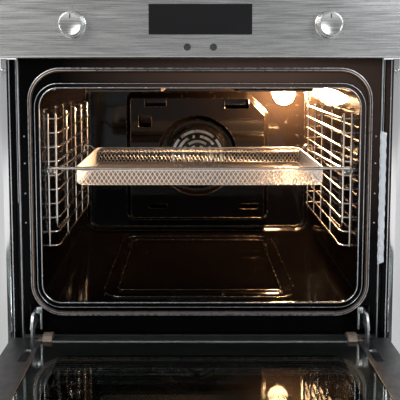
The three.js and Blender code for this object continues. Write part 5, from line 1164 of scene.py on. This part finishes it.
def wall_mesh(shape):
    """Two families of wires that zigzag down the wall and under it."""
    round_trip = 2 * PAN_WIDE + 2 * PAN_DEEP + 2 * math.pi * MESH_CORNER
    cells = round(round_trip / CELL_WIDE)
    pitch = round_trip / cells
    reach = PAN_WALL + MESH_FOOT * math.pi / 2
    drops = [MESH_START + (reach - MESH_START) * k / WALL_STEPS for k in range(WALL_STEPS + 1)]
    for i in range(cells):
        for lean in (-1, 1):
            shape.tube([along_wall((i + lean * drop / CELL_TALL / 2) * pitch, drop) for drop in drops],
                       MESH_WIRE, 5)


def floor_mesh():
    """Straight wires in two leaning families over the floor, clipped to its edge."""
    shape = Shape()
    x0, x1, y0, y1 = edges(BASKET, -MESH_FOOT, "xy")
    slope = CELL_TALL / CELL_WIDE
    first = y0 - (x1 - x0) * slope
    for i in range(int((y1 - first) / CELL_TALL) + 1):
        start = first + i * CELL_TALL
        near = max(0.0, (y0 - start) / slope)
        far = min(x1 - x0, (y1 - start) / slope)
        if far - near < CELL_WIDE:
            continue
        for lean in (1, -1):
            z = PAN_LOW.z + MESH_WIRE + 0.2 * MM * lean
            shape.tube([(x0 + along if lean > 0 else x1 - along, start + along * slope, z)
                        for along in (near, far)], PAN_FLOOR_WIRE, 4)
    return shape


# ---- Hinges ----

LOCK_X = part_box("hinge_lock_right")[0].x
LOCK_PIVOT = Vector((0, FACE_Y - 6 * MM, 106 * MM))
LOCK_LEAN = math.radians(25)
LOCK_BOW = 1.4 * MM
# (Distance down the lever, half its width).
LOCK_PROFILE = mm((-4.6, 0.6), (-4.2, 2.2), (-2.6, 3.6), (0.0, 4.3), (4.0, 4.0), (9.0, 3.1), (14.0, 2.9),
                  (18.0, 3.4), (20.0, 3.0), (20.8, 1.4))
LOCK_STATIONS = mm((0, 0.5), (0.4, 0.0), (2.4, 0.0), (3.0, 0.4), (3.3, 1.1))  # (place, edge taken off)
RIVET = mm((2.9, 2.6), (3.5, 2.4), (3.8, 1.4))  # (place, radius)


def lever_outline(x, shrink):
    """The lever's side view at x: a curved bar that hangs from its pivot and leans forwards."""
    along = Vector((0, -math.sin(LOCK_LEAN), -math.cos(LOCK_LEAN)))
    across = Vector((0, -math.cos(LOCK_LEAN), math.sin(LOCK_LEAN)))
    front, rear = [], []
    for down, half in LOCK_PROFILE:
        bow = LOCK_BOW * math.sin(math.pi * max(0.0, down) / LOCK_PROFILE[-1][0])
        spine = Vector((x, 0, 0)) + LOCK_PIVOT + along * down + across * bow
        reach = max(0.2 * MM, half - shrink)
        front.append(spine + across * reach)
        rear.append(spine - across * reach)
    return front + rear[::-1]


def hinge_levers():
    """The chromed locking lever of each hinge, with rounded edges and its rivet."""
    lever = [lever_outline(LOCK_X + x, shrink) for x, shrink in LOCK_STATIONS]
    rivet = [circle((LOCK_X + x, LOCK_PIVOT.y, LOCK_PIVOT.z), radius, 20, "yz") for x, radius in RIVET]
    shape = Shape().loft(lever).loft(rivet)
    for side, made in (("right", shape), ("left", shape.mirrored())):
        node = f"hinge_lock_{side}"
        dress(made.make(f"hinge_lever_{side}"), PLATED, node, "chrome_wire", node)


# (Left, right, bottom, top, corner radius) of the bracket's two plates, in millimetres.
BRACKET_PLATES = [(241.2, 250.1, 109, 119.5, 1.6), (241.8, 244.8, 84, 111, 1.2)]
BRACKET_EDGE = [(0.0, 0.15), (0.0, 2.7), (0.35, 3.35), (0.95, 3.6)]  # (inset, height over the plate)


def hinge_brackets():
    """The bright bracket round the inner side of each hinge slot, which hooks over the arm."""
    shape = Shape()
    for x0, x1, z0, z1, radius in BRACKET_PLATES:
        rings = []
        for inset, height in BRACKET_EDGE:
            outline = rounded(*mm(x0 + inset, x1 - inset, z0 + inset, z1 - inset, radius - inset * 0.8), 4)
            rings.append(at_y(outline, FACE_Y - height * MM))
        shape.loft(rings)
    dress_pair(shape, "hinge_bracket", PLATED, "oven", "chrome_wire")


def clip_bases():
    """The folded sheet under each glass clip, on top of the door's column."""
    low, high = CLIP_BOX
    rings = []
    for inset, rise in mm((0.0, 0.2), (0.0, 1.3), (0.5, 1.8)):
        outline = rounded(high.x + 0.4 * MM + inset, high.x + 8.4 * MM - inset, low.y + 1 * MM + inset,
                          high.y - 0.5 * MM - inset, 2 * MM, 4)
        rings.append(at_z(outline, low.z + rise))
    dress_pair(Shape().loft(rings), "clip_base", BRONZE, "door", "bronze_clip")


# ---- Door ----

BORDER_INK = plastic("glass_print_finish", (0.006, 0.006, 0.006), (0.01, 0.01, 0.01))
HANDLE_THICK = 12 * MM
HANDLE_DOME = 3 * MM
DOME_STEPS = 5
POST_MIDDLE = 215 * MM
# (Share of a post's height, half its width in millimetres).
HANDLE_POST = [(0, 7.5), (0.25, 6.4), (0.6, 6.4), (0.92, 7.4), (1, 7.5)]


def printed_border():
    """The black frame printed on the inner pane's hidden face."""
    low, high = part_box("door_inner_glass")
    z = low.z - 0.12 * MM
    outer = rounded(*edges((low, high), -1 * MM, "xy"), 4 * MM, 6)
    inner = rounded(low.x + 34 * MM, high.x - 34 * MM, low.y + 40 * MM, high.y - 44 * MM, 14 * MM, 6)
    thick = 0.08 * MM
    border = Shape().loft([at_z(outer, z), at_z(inner, z), at_z(inner, z + thick), at_z(outer, z + thick)],
                          closed=True)
    dress(border.make("glass_print_border"), BORDER_INK, "door", "black_glass")


def door_handle():
    """The oval bar with domed ends on two waisted posts."""
    low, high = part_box("door_handle")
    tall = high.y - low.y
    y, z = (low.y + high.y) / 2, low.z + HANDLE_THICK / 2
    shape = Shape().loft([circle((x, y, z), share * tall / 2, 36, "yz", HANDLE_THICK / tall)
                          for x, share in handle_stations(low.x, high.x)])
    for x in (-POST_MIDDLE, POST_MIDDLE):
        rings = []
        for share, half in HANDLE_POST:
            half *= MM
            outline = rounded(x - half, x + half, y - half, y + half, 3.5 * MM, 5)
            rings.append(at_z(outline, z + share * (high.z - z)))
        shape.loft(rings)
    dress(shape.make("door_handle_bar"), BRUSHED, "door", "brushed_stainless", "door_handle")


def handle_stations(x0, x1):
    """(Place along the bar, share of its full section): it narrows towards both ends."""
    angles = [math.pi / 2 * k / DOME_STEPS for k in range(DOME_STEPS + 1)]
    left = [(x0 + HANDLE_DOME * (1 - math.cos(a)), 0.55 + 0.45 * math.sin(a)) for a in angles]
    return left + [(x1 + x0 - x, share) for x, share in reversed(left)]


# ---- Controls ----

KNOB_SIDES = 144
FLUTE = 0.022  # a flute's depth, as a share of the radius
# (Share of the radius, distance from the back): the skirt; then from the front: the grip and the face.
KNOB_SKIRT = [(0.0, 0), (1.0, 0), (1.0, 2.6), (0.93, 3.4), (0.92, 4.2)]
KNOB_GRIP = [(0.90, 2.4), (0.87, 0.9), (0.82, 0.1), (0.78, 0), (0.74, 0.5), (0.0, 0.5)]
FLUTED = (0.86, 0.925)
DIALS = [("left", 12, 25), ("right", 11, 30)]  # (knob, number of marks, degrees from mark to mark)
MARK_INNER = 23.5 * MM
MARK_HALF = 0.28 * MM


def knob(side):
    """A turned knob with a fluted grip, a recessed face and an index line."""
    node = f"knob_{side}"
    low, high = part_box(node)
    centre = middle(node)
    radius = (high.x - low.x) / 2
    stations = [(share, high.y - back * MM) for share, back in KNOB_SKIRT]
    stations += [(share, low.y + ahead * MM) for share, ahead in KNOB_GRIP]
    rings = []
    for share, y in stations:
        ring = circle((centre.x, y, centre.z), radius * share, KNOB_SIDES)
        if FLUTED[0] < share < FLUTED[1]:
            flute = circle((centre.x, y, centre.z), radius * share * (1 - FLUTE), KNOB_SIDES)
            ring = [flute[i] if i % 4 < 2 else ring[i] for i in range(KNOB_SIDES)]
        rings.append(ring)
    dress(Shape().loft(rings).make(f"knob_{side}_turned"), BRUSHED, node, "brushed_stainless", node)
    line = Shape().box((centre.x - 0.7 * MM, low.y, centre.z + 0.42 * radius),
                       (centre.x + 0.7 * MM, low.y + 0.6 * MM, centre.z + 0.72 * radius))
    dress(line.make(f"knob_{side}_index"), PLASTIC, node, "black_plastic")


def panel_ticks():
    """Plain dial marks printed round the knobs."""
    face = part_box("control_fascia")[0].y
    lift = Vector((0, 0.05 * MM, 0))
    shape = Shape()
    for side, count, apart in DIALS:
        centre = middle(f"knob_{side}")
        for k in range(count):
            angle = math.radians(90 - k * apart)
            along = Vector((math.cos(angle), 0, math.sin(angle)))
            across = Vector((-along.z, 0, along.x)) * MARK_HALF
            start = Vector((centre.x, face, centre.z)) + along * MARK_INNER
            end = start + along * (1.6 if k % 2 else 2.6) * MM
            ring = [start - across, end - across, end + across, start + across]
            shape.loft([[p + lift for p in ring], ring])
    dress(shape.make("panel_marks"), PLASTIC, "oven", "black_plastic")


BUTTON_FACE = 5 * MM


def buttons():
    """Two push buttons, each a collar and a cap with a rounded edge and a dished face."""
    for i in (1, 2):
        node = f"button_{i}"
        low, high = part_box(node)
        centre = middle(node)
        collar = (high.x - low.x) / 2
        profile = [(0.0, high.y), (collar, high.y), (collar, high.y - 1.4 * MM),
                   (BUTTON_FACE, high.y - 1.6 * MM)]
        profile += [(BUTTON_FACE - inset, low.y + depth)
                    for inset, depth in mm((0, 0.6), (0.3, 0.15), (0.8, 0), (1.6, 0.25), (5, 0.4))]
        made = Shape().revolve(profile, centre.x, centre.z, 40).make(f"button_{i}_cap")
        dress(made, PLASTIC, node, "black_plastic", node)


# ---- Housing details ----

SCREW_INSET = 9 * MM
SCREW_HEIGHTS = mm(40, 200, 380, 540)
SCREW_PLACES = mm(-120, 0, 120)
WASHER = mm((0.0, 1.2), (4.4, 1.2), (4.4, 0.6), (0.0, 0.5))  # (radius, depth)
HEXAGON = mm((3.1, 0.6), (3.1, 0.15), (2.48, 0))  # (radius, depth)


def housing_screws():
    """Hex-washer screws along the housing's rear edges, as such housings have."""
    low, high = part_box("housing_back")
    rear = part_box("housing_top")[1].y
    spots = [(x, z) for z in SCREW_HEIGHTS for x in (low.x + SCREW_INSET, high.x - SCREW_INSET)]
    spots += [(x, high.z - SCREW_INSET) for x in SCREW_PLACES]
    for i, (x, z) in enumerate(spots):
        shape = Shape()
        for profile, sides in ((WASHER, 24), (HEXAGON, 6)):
            shape.revolve([(radius, rear - depth) for radius, depth in profile], x, z, sides)
        dress(shape.make(f"housing_screw_{i}"), STEEL, "oven", "bright_steel")


# ---- Stage, light and camera ----

FLOOR_HALF = 30.0
ROOM_FRONT = 0.22  # how bright the room in front of the oven looks in glossy surfaces
ROOM_LIGHT = 0.50
SKY_COLOR = (0.97, 0.98, 1.0, 1)
AHEAD = (0, -0.3, 0.4)
STUDIO_LIGHTS = [  # name, place, target, diameter, watts, colour
    ("key", (-1.35, -1.9, 1.5), AHEAD, 1.1, 24, (1.0, 0.99, 0.97)),
    ("fill", (1.35, -1.9, 1.3), AHEAD, 1.1, 17, (0.92, 0.96, 1.0)),
    ("rear", (0.6, 2.4, 2.2), (0, 0, 0.3), 1.8, 23, (1.0, 1.0, 1.0)),
]
LAMP_WATTS = 31
LAMP_COLOR = (1.0, 0.58, 0.29)
LAMP_SIZE = 24 * MM
LAMP_AHEAD = 28 * MM  # how far the lamp's light stands in front of its lens
EYE = Vector((-13.6 * MM, FACE_Y - 936 * MM, 495.3 * MM))
LENS_MM = 56.5
SENSOR_MM = 36.0
SHIFT_X = 0.0225
SHIFT_Y = -0.22
TILT = math.radians(4.68)


def floor():
    low = CAD_BOX[0].z
    corners = [(-FLOOR_HALF, -FLOOR_HALF), (FLOOR_HALF, -FLOOR_HALF), (FLOOR_HALF, FLOOR_HALF),
               (-FLOOR_HALF, FLOOR_HALF)]
    obj = Shape().add(at_z(corners, low), [(0, 1, 2, 3)]).make("studio_floor")
    obj.data.materials.append(varied("studio_floor_finish", (0.72, 0.715, 0.71), (0.75, 0.745, 0.74),
                                     0.85, 0.0, (1.5, 2), (4, 2, 0.05)))


def world():
    """White wherever the camera looks; reflections see that background behind and a dim room in front."""
    sky = bpy.data.worlds.new("studio")
    SCENE.world = sky
    nodes = Nodes(sky)
    background = nodes.tree.nodes["Background"]
    background.inputs["Color"].default_value = SKY_COLOR
    paths = nodes.node("ShaderNodeLightPath").outputs
    place = nodes.node("ShaderNodeTexCoord").outputs["Generated"]
    ahead = nodes.node("ShaderNodeSeparateXYZ", place).outputs["Y"]
    level = nodes.node("ShaderNodeMapRange", Value=ahead, From_Min=-0.25, From_Max=0.1,
                       To_Min=ROOM_FRONT, To_Max=1.0).outputs["Result"]
    level = nodes.node("ShaderNodeMix", Factor=paths["Is Glossy Ray"], A=ROOM_LIGHT, B=level).outputs[0]
    for path in ("Is Transmission Ray", "Is Camera Ray"):
        level = nodes.node("ShaderNodeMix", Factor=paths[path], A=level, B=1.0).outputs[0]
    nodes.tree.links.new(level, background.inputs["Strength"])


def place_light(name, kind, place, watts, color):
    data = bpy.data.lights.new(name, kind)
    data.energy = watts
    data.color = color
    light = bpy.data.objects.new(name, data)
    SCENE.collection.objects.link(light)
    light.location = place
    return light


def lights():
    for name, place, target, size, watts, color in STUDIO_LIGHTS:
        light = place_light(name, "AREA", place, watts, color)
        light.data.shape = "DISK"
        light.data.size = size
        light.rotation_euler = (Vector(target) - Vector(place)).to_track_quat("-Z", "Y").to_euler()
    place = middle("lamp_glass")
    place.y = LENS[0].y - LAMP_AHEAD
    place_light("oven_lamp", "POINT", place, LAMP_WATTS, LAMP_COLOR).data.shadow_soft_size = LAMP_SIZE


def camera():
    data = bpy.data.cameras.new("camera")
    data.sensor_width = SENSOR_MM
    data.lens = LENS_MM
    data.shift_x = SHIFT_X
    data.shift_y = SHIFT_Y
    data.clip_start = 0.01
    data.clip_end = 50
    eye = bpy.data.objects.new("camera", data)
    SCENE.collection.objects.link(eye)
    eye.location = EYE
    eye.rotation_euler = (math.pi / 2 - TILT, 0, 0)
    SCENE.camera = eye


camera()
dress_solids()
for piece in (cavity_liner, floor_field, front_plate, door_seal, opening_rims, side_trims, channel_wires,
              mounting_screws, plate_screws, foil_strip, fan_cover, edge_highlight_wires, cover_screws, lamp_lens,
              lamp_capsule, side_racks, basket_frame, basket_mesh, hinge_levers, hinge_brackets,
              clip_bases, printed_border, door_handle):
    piece()
for knob_side in ("left", "right"):
    knob(knob_side)
panel_ticks()
buttons()
housing_screws()
floor()
world()
lights()
SCENE.view_settings.view_transform = "Standard"

bpy.context.view_layer.update()
